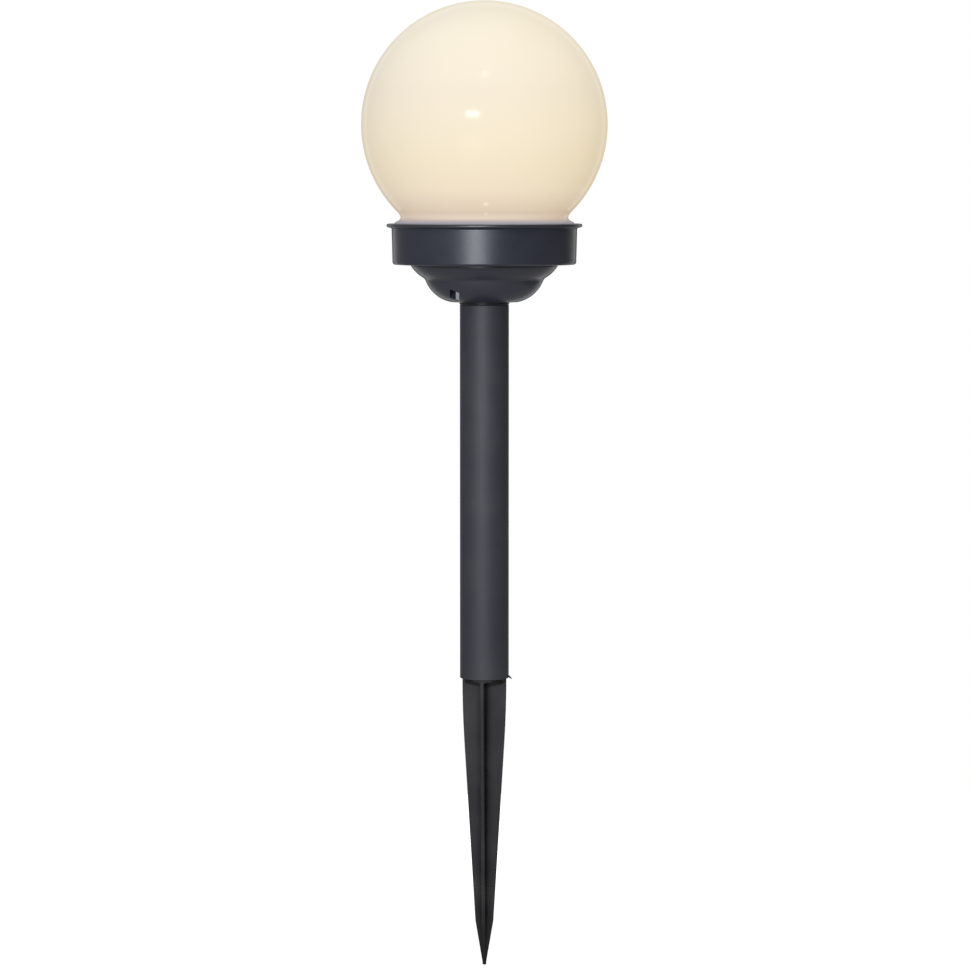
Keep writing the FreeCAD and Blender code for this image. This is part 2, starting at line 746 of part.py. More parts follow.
def make_carrier_plate():
    """Turret that closes the drum: flange, thread ring, side wall and top plate."""
    body = turned_body("CarrierTurned", [
        ("turret_bore", "carrier_floor"),
        ("carrier_radius", "carrier_floor"),
        ("carrier_radius", "carrier_flange_top"),
        ("thread_ring_radius", "carrier_flange_top"),
        ("thread_ring_radius", "thread_ring_top"),
        ("turret_radius", "thread_ring_top"),
        ("turret_radius", "turret_top - turret_chamfer"),
        ("turret_radius - turret_chamfer", "turret_top"),
        ("0", "turret_top"),
        ("0", "turret_ceiling"),
        ("turret_bore", "turret_ceiling"),
    ])
    slot_floor = "lug_floor - running_clearance"
    slot_top = "lug_floor + lug_height + running_clearance"
    lead(body, "ThreadSlot", [
        ("slot_bore", slot_floor),
        ("thread_ring_radius * 1.02", slot_floor),
        ("thread_ring_radius * 1.02", slot_top),
        ("slot_bore", slot_top),
    ], "lug_turn - 1", "lug_span + thread_turn + 20", True)
    wells = [
        cylinder(f"Well{number}", "well_radius", "turret_ceiling - carrier_floor", x, y,
                 "carrier_floor")
        for number, (x, y) in enumerate(BOSS_PLACES)
    ]
    board_bosses = [
        cylinder(f"BoardBoss{number}", "board_boss_radius", "board_gap", x, y, "board_top")
        for number, (x, y) in enumerate(BOARD_SCREW_PLACES)
    ]
    well_bores = [
        cylinder(f"WellBore{number}", "well_bore", "turret_top - carrier_floor", x, y,
                 "carrier_flange_top")
        for number, (x, y) in enumerate(BOSS_PLACES)
    ]
    screw_holes = [
        cylinder(f"PlateScrewHole{number}", "plate_screw_radius + screw_clearance",
                 "2 * carrier_flange_thickness", x, y,
                 "carrier_floor - carrier_flange_thickness / 2")
        for number, (x, y) in enumerate(BOSS_PLACES)
    ]
    pilots = [
        cylinder(f"BoardPilot{number}", "board_screw_radius + screw_clearance", "board_gap", x, y,
                 "board_top")
        for number, (x, y) in enumerate(BOARD_SCREW_PLACES)
    ]
    led_holes = [
        cylinder(f"LedHole{number}", "led_radius + screw_clearance", "3 * turret_top_thickness",
                 x, y, "turret_ceiling - turret_top_thickness")
        for number, (x, y) in enumerate(LED_PLACES)
    ]
    side = "panel_side + 2 * screw_clearance"
    recess = block("PanelRecess", side, side, "2 * panel_recess", z="panel_floor")
    wire_holes = [
        cylinder(f"PanelWireHole{number}", "2 * wire_radius", "3 * turret_top_thickness",
                 f"{sign}part_reach_x", z="turret_ceiling - turret_top_thickness")
        for number, sign in enumerate(("-", ""))
    ]
    plate = joined("CarrierWithWells", [body] + wells + board_bosses)
    piece("carrier_plate", cut("Carrier", plate, well_bores + screw_holes + pilots + led_holes
                               + [recess] + wire_holes))
    screws("plate_screws", BOSS_PLACES, "carrier_flange_top", "plate_screw_radius",
           "plate_screw_length", "plate_screw_head_radius", "plate_screw_head_height")


def make_globe():
    """Opal ball, open below, with a necked-in collar, a flange and a skirt with three lugs."""
    fillet_radius = "(neck_fillet_rise^2 + neck_cone_reach^2) / (2 * neck_cone_reach)"
    shoulder_radius = ("(neck_shoulder_rise^2 + neck_shoulder_reach^2)"
                       " / (2 * neck_shoulder_reach)")
    inner_join = "globe_centre - sqrt(globe_bore^2 - skirt_bore^2)"
    body = turned_body("GlobeTurned", [
        ("skirt_bore", "skirt_floor"),
        ("skirt_radius", "skirt_floor"),
        ("skirt_radius", "flange_floor"),
        ("neck_flange_radius", "flange_floor"),
        ("neck_flange_radius", "flange_edge"),
        ("neck_radius + neck_cone_reach", "flange_edge + neck_cone_rise",
         f"-({fillet_radius})"),
        ("neck_radius", "neck_level", f"-({shoulder_radius})"),
        ("neck_join_radius", "neck_join", "globe_radius"),
        ("0", "globe_centre + globe_radius"),
        ("0", "globe_centre + globe_bore", "-globe_bore"),
        ("skirt_bore", inner_join),
    ])
    lead(body, "Lug", [
        ("lug_tip", "lug_floor"),
        ("skirt_bore + skirt_wall / 2", "lug_floor"),
        ("skirt_bore + skirt_wall / 2", "lug_floor + lug_height"),
        ("lug_tip", "lug_floor + lug_height"),
    ], "lug_turn", "lug_span", False)
    piece("globe", body)


# Solar panel, board and lamps ----------------------------------------------------------------

def make_solar_panel():
    """Board in the turret's recess, four cells on it and a clear resin cover over them."""
    piece("solar_panel_board", block("PanelBoard", "panel_side", "panel_side",
                                     "panel_board_thickness", z="panel_floor"))
    cell_width = "(panel_side - 5 * cell_gap) / 4"
    cells = [
        block(f"Cell{number}", cell_width, "panel_side - 2 * cell_gap", "cell_thickness",
              x=f"{number - 1.5} * ({cell_width} + cell_gap)", z="cell_floor")
        for number in range(4)
    ]
    piece("solar_cells", group("Cells", cells))
    cover = block("ResinBlock", "panel_side", "panel_side", "resin_thickness", z="cell_floor")
    piece("panel_resin", cut("Resin", cover, cells))
    piece("panel_wires", group("PanelWires", [
        cylinder(f"PanelWire{number}", "wire_radius", "panel_floor - board_top",
                 f"{sign}part_reach_x", z="board_top")
        for number, sign in enumerate(("-", ""))
    ]))


def make_led(number, x, y):
    """Lens of one lamp: flange, barrel and dome, with its two leads down to the board."""
    barrel_top = "led_floor + led_height - led_radius"
    lens = turned_body(f"Led{number}", [
        ("0", "led_floor"),
        ("led_radius + led_flange", "led_floor"),
        ("led_radius + led_flange", "turret_ceiling"),
        ("led_radius", "turret_ceiling"),
        ("led_radius", barrel_top, "led_radius"),
        ("0", "led_floor + led_height"),
    ])
    leads = [
        block(f"Led{number}Lead{side}", "lead_width", "lead_width", "led_floor - board_top",
              f"{x} {sign} lead_pitch / 2", y, "board_top")
        for side, sign in enumerate(("-", "+"))
    ]
    return seat(lens, x, y), leads


def make_leds():
    """Two lamps beside the panel, front and back."""
    lenses, leads = zip(*(make_led(number, x, y) for number, (x, y) in enumerate(LED_PLACES)))
    piece("led_lenses", group("LedLenses", list(lenses)))
    piece("led_leads", group("LedLeads", leads[0] + leads[1]))


def make_circuit_board():
    """Board on two bosses under the turret's top, with the parts on its lower face."""
    blank = block("BoardBlank", "board_width", "board_length", "board_thickness",
                  z="board_floor")
    holes = [
        cylinder(f"BoardHole{number}", "board_screw_radius + screw_clearance",
                 "3 * board_thickness", x, y, "board_floor - board_thickness")
        for number, (x, y) in enumerate(BOARD_SCREW_PLACES)
    ]
    piece("circuit_board", cut("Board", blank, holes))
    screws("board_screws", BOARD_SCREW_PLACES, "board_floor", "board_screw_radius",
           "board_screw_length", "board_screw_head_radius", "board_screw_head_height",
           upwards=True)
    piece("driver_chip", block("DriverChip", "chip_width", "chip_length", "chip_height",
                               "part_reach_x", "part_reach_y", "board_floor - chip_height"))
    piece("inductor", cylinder("Inductor", "coil_radius", "coil_height", "-part_reach_x",
                               "part_reach_y", "board_floor - coil_height"))
    piece("capacitor", cylinder("Capacitor", "capacitor_radius", "capacitor_height",
                                "part_reach_x", "-part_reach_y",
                                "board_floor - capacitor_height"))


# Battery -------------------------------------------------------------------------------------

def lying(name, radius, length, start, x="0", z="cell_axis"):
    """Round bar along +Y from a start."""
    return cylinder(name, radius, length, x, start, z, turned(-90, (1, 0, 0)))


def make_battery():
    """AA cell in a tray that hangs by two ears, with its contacts and spring."""
    tray = block("Tray", "2 * holder_half_width", "2 * holder_half_length", "holder_height",
                 z="holder_base")
    room_width = "2 * (holder_half_width - holder_wall)"
    room = block("TrayRoom", room_width, "2 * (holder_half_length - holder_wall)",
                 "holder_height", z="holder_base + holder_floor")
    ears = [
        block(f"Ear{number}", "holder_ear_reach", "holder_ear_width", "holder_ear_thickness",
              f"{sign}holder_ear_reach / 2", f"{back}holder_ear_offset", "holder_ear_floor")
        for number, (sign, back) in enumerate((("-", ""), ("", "-")))
    ]
    holes = [
        cylinder(f"EarHole{number}", "holder_screw_radius + screw_clearance",
                 "3 * holder_ear_thickness", x, y, "holder_ear_floor - holder_ear_thickness")
        for number, (x, y) in enumerate(HOLDER_SCREW_PLACES)
    ]
    piece("battery_holder", cut("Holder", joined("TrayWithEars", [tray] + ears),
                                [room] + holes))
    screws("holder_screws", HOLDER_SCREW_PLACES, "holder_ear_floor + holder_ear_thickness",
           "holder_screw_radius", "holder_screw_length", "holder_screw_head_radius",
           "holder_screw_head_height")
    can = lying("Can", "cell_radius", "cell_length - nub_length", "-cell_length / 2")
    nub = lying("Nub", "nub_radius", "nub_length", "cell_length / 2 - nub_length")
    piece("battery_cell", joined("Cell", [can, nub]))
    inside = "holder_half_length - holder_wall"
    contacts = [
        block(f"Contact{number}", "contact_width", "contact_thickness", "contact_height", y=place,
              z="holder_base + holder_floor")
        for number, place in enumerate((f"contact_thickness / 2 - ({inside})",
                                        f"{inside} - contact_thickness / 2"))
    ]
    piece("negative_contact", contacts[0])
    bump = lying("Bump", "bump_radius",
                 f"{inside} - contact_thickness - cell_length / 2 - screw_clearance",
                 "cell_length / 2 + screw_clearance")
    piece("positive_contact", joined("PositiveContact", [contacts[1], bump]))
    room_length = f"{inside} - contact_thickness - cell_length / 2"
    spring = lying("SpringOutside", "spring_radius", room_length,
                   f"contact_thickness - ({inside})")
    hollow = lying("SpringInside", "spring_radius - spring_wire", f"2 * ({room_length})",
                   f"-({inside})")
    piece("battery_spring", cut("Spring", spring, [hollow]))


# Slide switch --------------------------------------------------------------------------------

def make_switch():
    """Slide switch behind the bowl's wall: metal frame, base, terminals and knob."""
    shell = switch_block("FrameShell", "frame_length", "frame_width", "-switch_pad_depth",
                         "-switch_base")
    inside = switch_block("FrameInside", "frame_length - 2 * frame_wall",
                          "frame_width - 2 * frame_wall", "-switch_pad_depth - frame_wall",
                          "-2 * switch_base")
    opening = switch_block("FrameOpening", "window_length", "window_width", "0", "-switch_base")
    piece("switch_frame", cut("Frame", shell, [inside, opening]))
    piece("switch_body", switch_block("SwitchBase", "frame_length", "frame_width",
                                      "-switch_base", "-switch_depth"))
    piece("switch_terminals", group("Terminals", [
        switch_block(f"Terminal{number}", "terminal_width", "terminal_thickness",
                     "-(switch_depth)", "-(switch_depth) - terminal_length",
                     f"{number - 1} * terminal_pitch")
        for number in range(3)
    ]))
    end = "window_length / 2 - running_clearance"
    foot_floor = "running_clearance - (switch_base)"
    foot_length = "knob_length + (frame_length - window_length) / 2 - frame_wall - running_clearance"
    stem = switch_block("KnobStem", "knob_length", "knob_width", "-knob_recess",
                        f"{foot_floor} + knob_foot_height / 2", f"{end} - knob_length / 2")
    foot = switch_block("KnobFoot", foot_length,
                        "frame_width - 2 * frame_wall - 2 * running_clearance",
                        f"{foot_floor} + knob_foot_height", foot_floor,
                        f"{end} - knob_length + ({foot_length}) / 2")
    piece("switch_knob", joined("Knob", [stem, foot]))


# Wires ---------------------------------------------------------------------------------------

def wire(name, points):
    """Round wire along straight runs joined by tangent arcs, one arc at each inner point."""
    radius = size("wire_radius")
    edges = []
    here = points[0]
    for before, corner, after in zip(points, points[1:], points[2:]):
        back, onward = before - corner, after - corner
        turn = math.pi - back.getAngle(onward)
        reach = 0.45 * min(back.Length, onward.Length)
        first = corner + back.normalize() * reach
        last = corner + onward.normalize() * reach
        bend = reach / math.tan(turn / 2)
        toward = (back + onward).normalize()
        middle = corner + toward * (math.hypot(bend, reach) - bend)
        edges += [Part.LineSegment(here, first), Part.Arc(first, middle, last)]
        here = last
        print(f"{name}: bend radius {bend:.1f} mm")
    edges.append(Part.LineSegment(here, points[-1]))
    path = Part.Wire([edge.toShape() for edge in edges])
    section = Part.Wire(Part.makeCircle(radius, points[0], points[1] - points[0]))
    solid = path.makePipeShell([section], True, False)
    expected = math.pi * radius ** 2 * path.Length
    print(f"{name}: volume {solid.Volume:.2f}, expected {expected:.2f} mm3")
    feature = document.addObject("Part::Feature", name)
    feature.Shape = solid
    return feature


def at(x, y, z):
    """Point at bound places."""
    return FreeCAD.Vector(size(x), size(y), size(z))


def make_wires():
    """Two wires from the battery's contacts and two from the switch, all up to the board."""
    contact_y = "(holder_half_length - holder_wall - contact_thickness / 2)"
    contact_top = "(holder_base + holder_floor + contact_height)"
    room = f"(board_floor - {contact_top})"
    piece("battery_wires", group("BatteryWires", [
        wire(f"BatteryWire{number}", [
            at("-contact_width / 3", f"{sign}{contact_y}", contact_top),
            at("-contact_width / 3", f"{sign}{contact_y}", f"{contact_top} + {room} * 0.35"),
            at("-contact_width / 2", f"{sign}({contact_y} - 1)", f"{contact_top} + {room} * 0.7"),
            at("-contact_width / 2", f"{sign}({contact_y} - 1)", "board_floor"),
        ])
        for number, sign in enumerate(("-", ""))
    ]))
    tray_side = "holder_half_width + 5 * wire_radius"
    switch_wires = []
    for number, (outwards, back) in enumerate((("1.6", "15"), ("0", "18"))):
        pin = (f"{number - 1} * terminal_pitch", "terminal_thickness / 2",
               "-(switch_depth) - terminal_length * 0.6")
        up_slope = ("terminal_thickness / 2 + 6 * wire_radius",)
        switch_wires.append(wire(f"SwitchWire{number}", [
            at(*switch_place(*pin)),
            at(*switch_place(pin[0], *up_slope, pin[2])),
            at(f"-({tray_side}) - {outwards}", f"-{back}", "holder_base + holder_height / 3"),
            at(f"-({tray_side}) - {outwards}", f"-{back}", "holder_top"),
            at("3 * wire_radius - board_width / 2", f"-{back}", f"board_floor - {room} / 2"),
            at("3 * wire_radius - board_width / 2", f"-{back}", "board_floor"),
        ]))
    piece("switch_wires", group("SwitchWires", switch_wires))


def write_pieces():
    """Checks every object and every piece, then writes one file for each piece."""
    document.recompute()
    for item in document.Objects:
        if "Invalid" in item.State or "Error" in item.State:
            raise RuntimeError(f"{item.Name} failed: {item.State}")
    os.makedirs("parts", exist_ok=True)
    for name, target in PIECES.items():
        if target.Shape.isNull() or not target.Shape.isValid():
            raise RuntimeError(f"{name} has no valid shape")
        target.Shape.exportStep(f"parts/{name}.step")
        print(f"{name}: {len(target.Shape.Solids)} solid(s), {target.Shape.Volume:.1f} mm3")


fill_sheet()
make_pole_tube()
make_ground_spike()
make_pole_adaptor()
make_base_housing()
make_seals()
make_carrier_plate()
make_globe()
make_solar_panel()
make_leds()
make_circuit_board()
make_battery()
make_switch()
make_wires()
write_pieces()
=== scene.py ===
"""Looks of a garden globe light: opal ball, stepped dark drum, tube and four-fin spike.

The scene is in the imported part's own frame: +Z up, the front towards -Y, and the origin on the
light's axis at the ground line. Finishes and stage are in metres. Sub-assemblies are in
millimetres until their surfaces become meshes.
"""

import logging
import math
from dataclasses import dataclass
from enum import Enum
from functools import cache
from typing import ClassVar, Iterable, Protocol, Sequence

import bpy
import numpy as np
from bpy.types import Material, Mesh, Node, NodeSocket, NodeTree, Object, World
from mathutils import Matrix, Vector

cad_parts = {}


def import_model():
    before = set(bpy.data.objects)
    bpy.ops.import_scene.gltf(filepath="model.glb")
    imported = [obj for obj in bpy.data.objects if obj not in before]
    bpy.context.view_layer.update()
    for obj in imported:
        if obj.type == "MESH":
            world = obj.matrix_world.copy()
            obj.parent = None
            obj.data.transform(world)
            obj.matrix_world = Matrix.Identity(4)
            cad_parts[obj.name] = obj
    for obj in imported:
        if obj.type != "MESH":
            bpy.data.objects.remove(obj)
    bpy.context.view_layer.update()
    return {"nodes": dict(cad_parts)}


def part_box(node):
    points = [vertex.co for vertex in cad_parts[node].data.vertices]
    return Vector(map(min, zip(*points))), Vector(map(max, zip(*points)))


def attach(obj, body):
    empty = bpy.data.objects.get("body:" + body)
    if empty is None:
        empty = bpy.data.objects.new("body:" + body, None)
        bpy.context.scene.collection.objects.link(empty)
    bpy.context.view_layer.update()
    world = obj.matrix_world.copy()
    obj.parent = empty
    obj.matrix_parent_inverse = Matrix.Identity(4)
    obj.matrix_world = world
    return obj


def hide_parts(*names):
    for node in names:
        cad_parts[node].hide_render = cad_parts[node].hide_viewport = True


log = logging.getLogger("globe_light")

Place = tuple[float, float, float]
Colour = tuple[float, float, float]
Span = tuple[float, float]
Value = float | tuple[float, ...] | NodeSocket
Sockets = dict[str, NodeSocket]

MM = 0.001
SMOOTH_LIMIT = math.radians(32.0)
NODE_STEP = 220
ARC_STEPS = 6
WHITE: Colour = (1.0, 1.0, 1.0)
COOL: Colour = (0.95, 0.98, 1.05)


class Body(str, Enum):
    """Bodies that new pieces ride on."""

    POLE = "pole"
    HEAD = "head"
    SEAL = "seal"
    GLOBE = "globe"


class Grain(Enum):
    """How a plastic skin was formed: the noise's share of its scale along the light's axis."""

    MOULDED = 1.0
    DRAWN = 0.02


class Carries(str, Enum):
    """What a socket of a node group carries, as Blender's type of it."""

    PLACE = "NodeSocketVector"
    COLOUR = "NodeSocketColor"
    NUMBER = "NodeSocketFloat"


def srgb(*levels: int) -> Colour:
    """Linear colour of an sRGB colour.

    Args:
        levels: its red, green and blue, from 0 to 255.

    Returns:
        The linear colour, from 0 to 1.
    """
    scaled = np.array(levels) / 255.0
    low, high = scaled / 12.92, ((scaled + 0.055) / 1.055) ** 2.4
    return tuple(float(value) for value in np.where(scaled <= 0.04045, low, high))


# Shader building

def by_name(sockets: Iterable[NodeSocket]) -> Sockets:
    """Sockets by their names, without the nameless one at a group's end."""
    return {socket.name: socket for socket in sockets if socket.name}


def emptied(owner: Material | World) -> NodeTree:
    """Takes out the nodes that Blender puts into a new material or world.

    Args:
        owner: the material or world.

    Returns:
        Its empty node tree.
    """
    owner.use_nodes = True
    owner.node_tree.nodes.clear()
    return owner.node_tree


class Graph:
    """Adds nodes to a node tree and links them."""

    def __init__(self, tree: NodeTree) -> None:
        """Keeps the tree."""
        self.tree = tree

    def feed(self, target: NodeSocket, value: Value) -> None:
        """Links a socket to an input, or sets the input's own value.

        Args:
            target: the input.
            value: the socket, or a number, vector or colour.
        """
        if isinstance(value, NodeSocket):
            self.tree.links.new(value, target)
        elif target.type == "RGBA":
            target.default_value = (*value, 1.0)
        else:
            target.default_value = value

    def add(self, kind: str, inputs: dict[str | int, Value] | None = None,
            **settings: object) -> Node:
        """Adds one node beside the last one.

        Args:
            kind: Blender's type name of the node.
            inputs: values or sockets for its inputs, by name or number.
            settings: properties of the node.

        Returns:
            The node.
        """
        place = NODE_STEP * len(self.tree.nodes)
        node = self.tree.nodes.new(kind)
        node.location = (place, 0)
        for name, setting in settings.items():
            setattr(node, name, setting)
        for name, value in (inputs or {}).items():
            self.feed(node.inputs[name], value)
        return node

    def maths(self, operation: str, *values: Value, clamp: bool = False) -> NodeSocket:
        """Result of a Math node over values or sockets."""
        node = self.add("ShaderNodeMath", dict(enumerate(values)), operation=operation,
                        use_clamp=clamp)
        return node.outputs[0]

    def parts(self, vector: NodeSocket) -> Sockets:
        """X, Y and Z of a vector."""
        return by_name(self.add("ShaderNodeSeparateXYZ", {0: vector}).outputs)

    def reach(self, first: Value, second: Value) -> NodeSocket:
        """Length of the flat vector with these two parts."""
        square = self.maths("MULTIPLY_ADD", first, first,
                            self.maths("MULTIPLY", second, second))
        return self.maths("SQRT", square)

    def noise(self, vector: NodeSocket, scale: Value, detail: float = 2.0,
              roughness: float = 0.55) -> NodeSocket:
        """Grey output of a noise texture."""
        node = self.add("ShaderNodeTexNoise", {"Vector": vector, "Scale": scale,
                                               "Detail": detail, "Roughness": roughness})
        return node.outputs["Fac"]

    def steps(self, value: NodeSocket, low: float, high: float, start: float = 0.0,
              end: float = 1.0) -> NodeSocket:
        """Value carried smoothly from one range to another and held at its ends."""
        node = self.add("ShaderNodeMapRange",
                        {"Value": value, "From Min": low, "From Max": high,
                         "To Min": start, "To Max": end},
                        interpolation_type="SMOOTHSTEP")
        return node.outputs[0]

    def scaled(self, colour: Value, share: Value) -> NodeSocket:
        """Colour made brighter or darker by a number."""
        node = self.add("ShaderNodeVectorMath", {0: colour, "Scale": share}, operation="SCALE")
        return node.outputs[0]

    def blend(self, share: Value, first: Value, second: Value) -> NodeSocket:
        """Colour mix of two colours or sockets."""
        node = self.add("ShaderNodeMix", {0: share, 6: first, 7: second}, data_type="RGBA")
        return node.outputs[2]


class SharedEffect:
    """Effect that several materials use, as a shader node group that is built once."""

    name: ClassVar[str]
    inputs: ClassVar[dict[str, float | Colour]]
    outputs: ClassVar[dict[str, Carries]]

    @classmethod
    def fill(cls, graph: Graph, given: Sockets) -> Sockets:
        """Adds the effect's own nodes.

        Args:
            graph: the group's graph.
            given: the group's input sockets by name.

        Returns:
            A socket for each of the group's outputs, by name.
        """
        raise NotImplementedError

    @classmethod
    def build(cls) -> NodeTree:
        """Makes the group with its sockets and fills it.

        Returns:
            The group.
        """
        tree = bpy.data.node_groups.new(cls.name, "ShaderNodeTree")
        tree.interface.new_socket("Place", in_out="INPUT", socket_type=Carries.PLACE.value)
        for key, value in cls.inputs.items():
            colour = isinstance(value, tuple)
            kind = Carries.COLOUR if colour else Carries.NUMBER
            socket = tree.interface.new_socket(key, in_out="INPUT", socket_type=kind.value)
            socket.default_value = (*value, 1.0) if colour else value
        for key, kind in cls.outputs.items():
            tree.interface.new_socket(key, in_out="OUTPUT", socket_type=kind.value)
        graph = Graph(tree)
        made = cls.fill(graph, by_name(graph.add("NodeGroupInput").outputs))
        graph.add("NodeGroupOutput", made)
        return tree

    @classmethod
    def put(cls, graph: Graph, place: NodeSocket, values: dict[str, Value]) -> Sockets:
        """Places the group in a material.

        Args:
            graph: the material's graph.
            place: the coordinates that the effect follows.
            values: the group's other inputs, where they differ from its own.

        Returns:
            The group's output sockets by name.
        """
        tree = bpy.data.node_groups.get(cls.name) or cls.build()
        node = graph.add("ShaderNodeGroup", {"Place": place, **values}, node_tree=tree)
        return by_name(node.outputs)


class MouldedSkin(SharedEffect):
    """Skin of a moulded plastic.

    A slow noise makes patches of tone and gloss. A fine one is the grain of the mould's eroded
    surface, and varies the gloss as well.
    """

    name = "moulded_skin"
    inputs = {"Colour": (0.5, 0.5, 0.5), "Roughness": 0.4, "Cloud Scale": 25.0,
              "Grain Scale": 2500.0, "Patchiness": 0.2, "Gloss Drift": 0.1}
    outputs = {"Colour Out": Carries.COLOUR, "Rough": Carries.NUMBER, "Height": Carries.NUMBER}

    @classmethod
    def fill(cls, graph: Graph, given: Sockets) -> Sockets:
        """Adds the skin's nodes.

        Args:
            graph: the group's graph.
            given: the group's input sockets by name.

        Returns:
            The colour, the roughness and the grain's height.
        """
        cloud = graph.noise(given["Place"], given["Cloud Scale"])
        grain = graph.noise(given["Place"], given["Grain Scale"], roughness=0.7)
        drift = graph.maths("SUBTRACT", cloud, 0.5)
        tone = graph.maths("MULTIPLY_ADD", drift, given["Patchiness"], 1.0)
        slow = graph.maths("MULTIPLY_ADD", drift, given["Gloss Drift"], given["Roughness"])
        rough = graph.maths("MULTIPLY_ADD", graph.maths("SUBTRACT", grain, 0.5),
                            given["Gloss Drift"], slow, clamp=True)
        return {"Colour Out": graph.scaled(given["Colour"], tone), "Rough": rough,
                "Height": grain}


class WornMarks(SharedEffect):
    """Scuffs and dust.

    A noise stretched along the part gives thin lengthwise scratches, which a broad noise
    breaks into patches; dust gathers where that broad noise is high. The spans are the values
    of a noise between which a mark fades in.
    """

    name = "worn_marks"
    inputs = {"Colour": (0.5, 0.5, 0.5), "Scratch Colour": (0.6, 0.6, 0.6),
              "Dust Colour": (0.5, 0.48, 0.45), "Scratch Scale": 900.0, "Patch Scale": 40.0,
              "Scratch Amount": 0.3, "Dust Amount": 0.06}
    outputs = {"Colour Out": Carries.COLOUR, "Scratch": Carries.NUMBER}
    stretch: ClassVar[float] = 0.035
    line_span: ClassVar[Span] = (0.60, 0.72)
    patch_span: ClassVar[Span] = (0.48, 0.66)
    dust_span: ClassVar[Span] = (0.35, 0.80)

    @classmethod
    def fill(cls, graph: Graph, given: Sockets) -> Sockets:
        """Adds the nodes of scratches and dust.

        Args:
            graph: the group's graph.
            given: the group's input sockets by name.

        Returns:
            The colour with both marks, and where the scratches are.
        """
        along = graph.add("ShaderNodeMapping", {"Vector": given["Place"],
                                                "Scale": (1.0, 1.0, cls.stretch)})
        streak = graph.noise(along.outputs[0], given["Scratch Scale"], detail=4.0,
                             roughness=0.65)
        patch = graph.noise(given["Place"], given["Patch Scale"])
        scratch = graph.maths("MULTIPLY",
                              graph.maths("MULTIPLY", graph.steps(streak, *cls.line_span),
                                          graph.steps(patch, *cls.patch_span)),
                              given["Scratch Amount"], clamp=True)
        dust = graph.maths("MULTIPLY", graph.steps(patch, *cls.dust_span),
                           given["Dust Amount"], clamp=True)
        dusty = graph.blend(dust, given["Colour"], given["Dust Colour"])
        return {"Colour Out": graph.blend(scratch, dusty, given["Scratch Colour"]),
                "Scratch": scratch}


class Coat(Graph):
    """Graph of a new material, with its Principled shader and its Object coordinates.

    The glance span is the facing value, one less the cosine of the angle of view, between
    which a surface counts as seen edge-on.
    """

    glance_span: ClassVar[Span] = (0.72, 0.90)

    def __init__(self, name: str) -> None:
        """Makes the material with its shader and output.

        Args:
            name: name of the material.
        """
        self.material = bpy.data.materials.new(name)
        super().__init__(emptied(self.material))
        self.place = self.add("ShaderNodeTexCoord").outputs["Object"]
        self.shader = self.add("ShaderNodeBsdfPrincipled")
        self.add("ShaderNodeOutputMaterial", {"Surface": self.shader.outputs[0]})

    def softened(self, rough: NodeSocket, edge: float) -> NodeSocket:
        """Roughness that rises to the edge's where it is seen edge-on, as dust makes it."""
        facing = self.add("ShaderNodeLayerWeight", {"Blend": 0.5}).outputs["Facing"]
        return self.maths("MAXIMUM", rough, self.steps(facing, *self.glance_span, 0.0, edge))

    def finish(self, looks: dict[str, Value], height: NodeSocket, depth: float) -> Material:
        """Fills the shader's inputs and leads a height into its normal.

        Args:
            looks: the shader's inputs by name.
            height: height of the grain, from 0 to 1.
            depth: the grain's depth in metres.

        Returns:
            The material.
        """
        for name, value in looks.items():
            self.feed(self.shader.inputs[name], value)
        bump = self.add("ShaderNodeBump", {"Height": height, "Distance": depth})
        self.feed(self.shader.inputs["Normal"], bump.outputs[0])
        return self.material


# Finishes

class Finish(Protocol):
    """Anything that makes a material."""

    @property
    def name(self) -> str:
        """Name of the material."""

    def material(self) -> Material:
        """Makes the material."""


@cache
def material_of(finish: Finish) -> Material:
    """Material of a finish, made once."""
    return finish.material()


@dataclass(frozen=True)
class Plastic:
    """Solid plastic with grain, slow patches of tone, scuffs and dust."""

    name: str
    colour: Colour
    roughness: float = 0.40
    edge_roughness: float = 0.60
    specular: float = 0.5
    grain: Grain = Grain.MOULDED
    grain_scale: float = 2600.0
    grain_depth: float = 0.00003
    patchiness: float = 0.25
    gloss_drift: float = 0.10
    scratch_amount: float = 0.08
    scratch_roughness: float = 0.25
    scratch_colour: Colour = (0.11, 0.12, 0.13)
    dust_amount: float = 0.04
    dust_colour: Colour = (0.20, 0.19, 0.18)

    def tone(self, coat: Coat) -> Value:
        """Colour of the clean plastic."""
        return self.colour

    def material(self) -> Material:
        """Makes the plastic's material.

        Returns:
            The material.
        """
        coat = Coat(self.name)
        drawn = coat.add("ShaderNodeMapping", {"Vector": coat.place,
                                               "Scale": (1.0, 1.0, self.grain.value)})
        skin = MouldedSkin.put(coat, drawn.outputs[0], {
            "Colour": self.tone(coat), "Roughness": self.roughness,
            "Patchiness": self.patchiness, "Gloss Drift": self.gloss_drift,
            "Grain Scale": self.grain_scale})
        worn = WornMarks.put(coat, coat.place, {
            "Colour": skin["Colour Out"], "Scratch Colour": self.scratch_colour,
            "Dust Colour": self.dust_colour, "Scratch Amount": self.scratch_amount,
            "Dust Amount": self.dust_amount})
        rough = coat.maths("MULTIPLY_ADD", worn["Scratch"], self.scratch_roughness,
                           skin["Rough"], clamp=True)
        return coat.finish({"Base Color": worn["Colour Out"],
                            "Roughness": coat.softened(rough, self.edge_roughness),
                            "Specular IOR Level": self.specular},
                           skin["Height"], self.grain_depth)


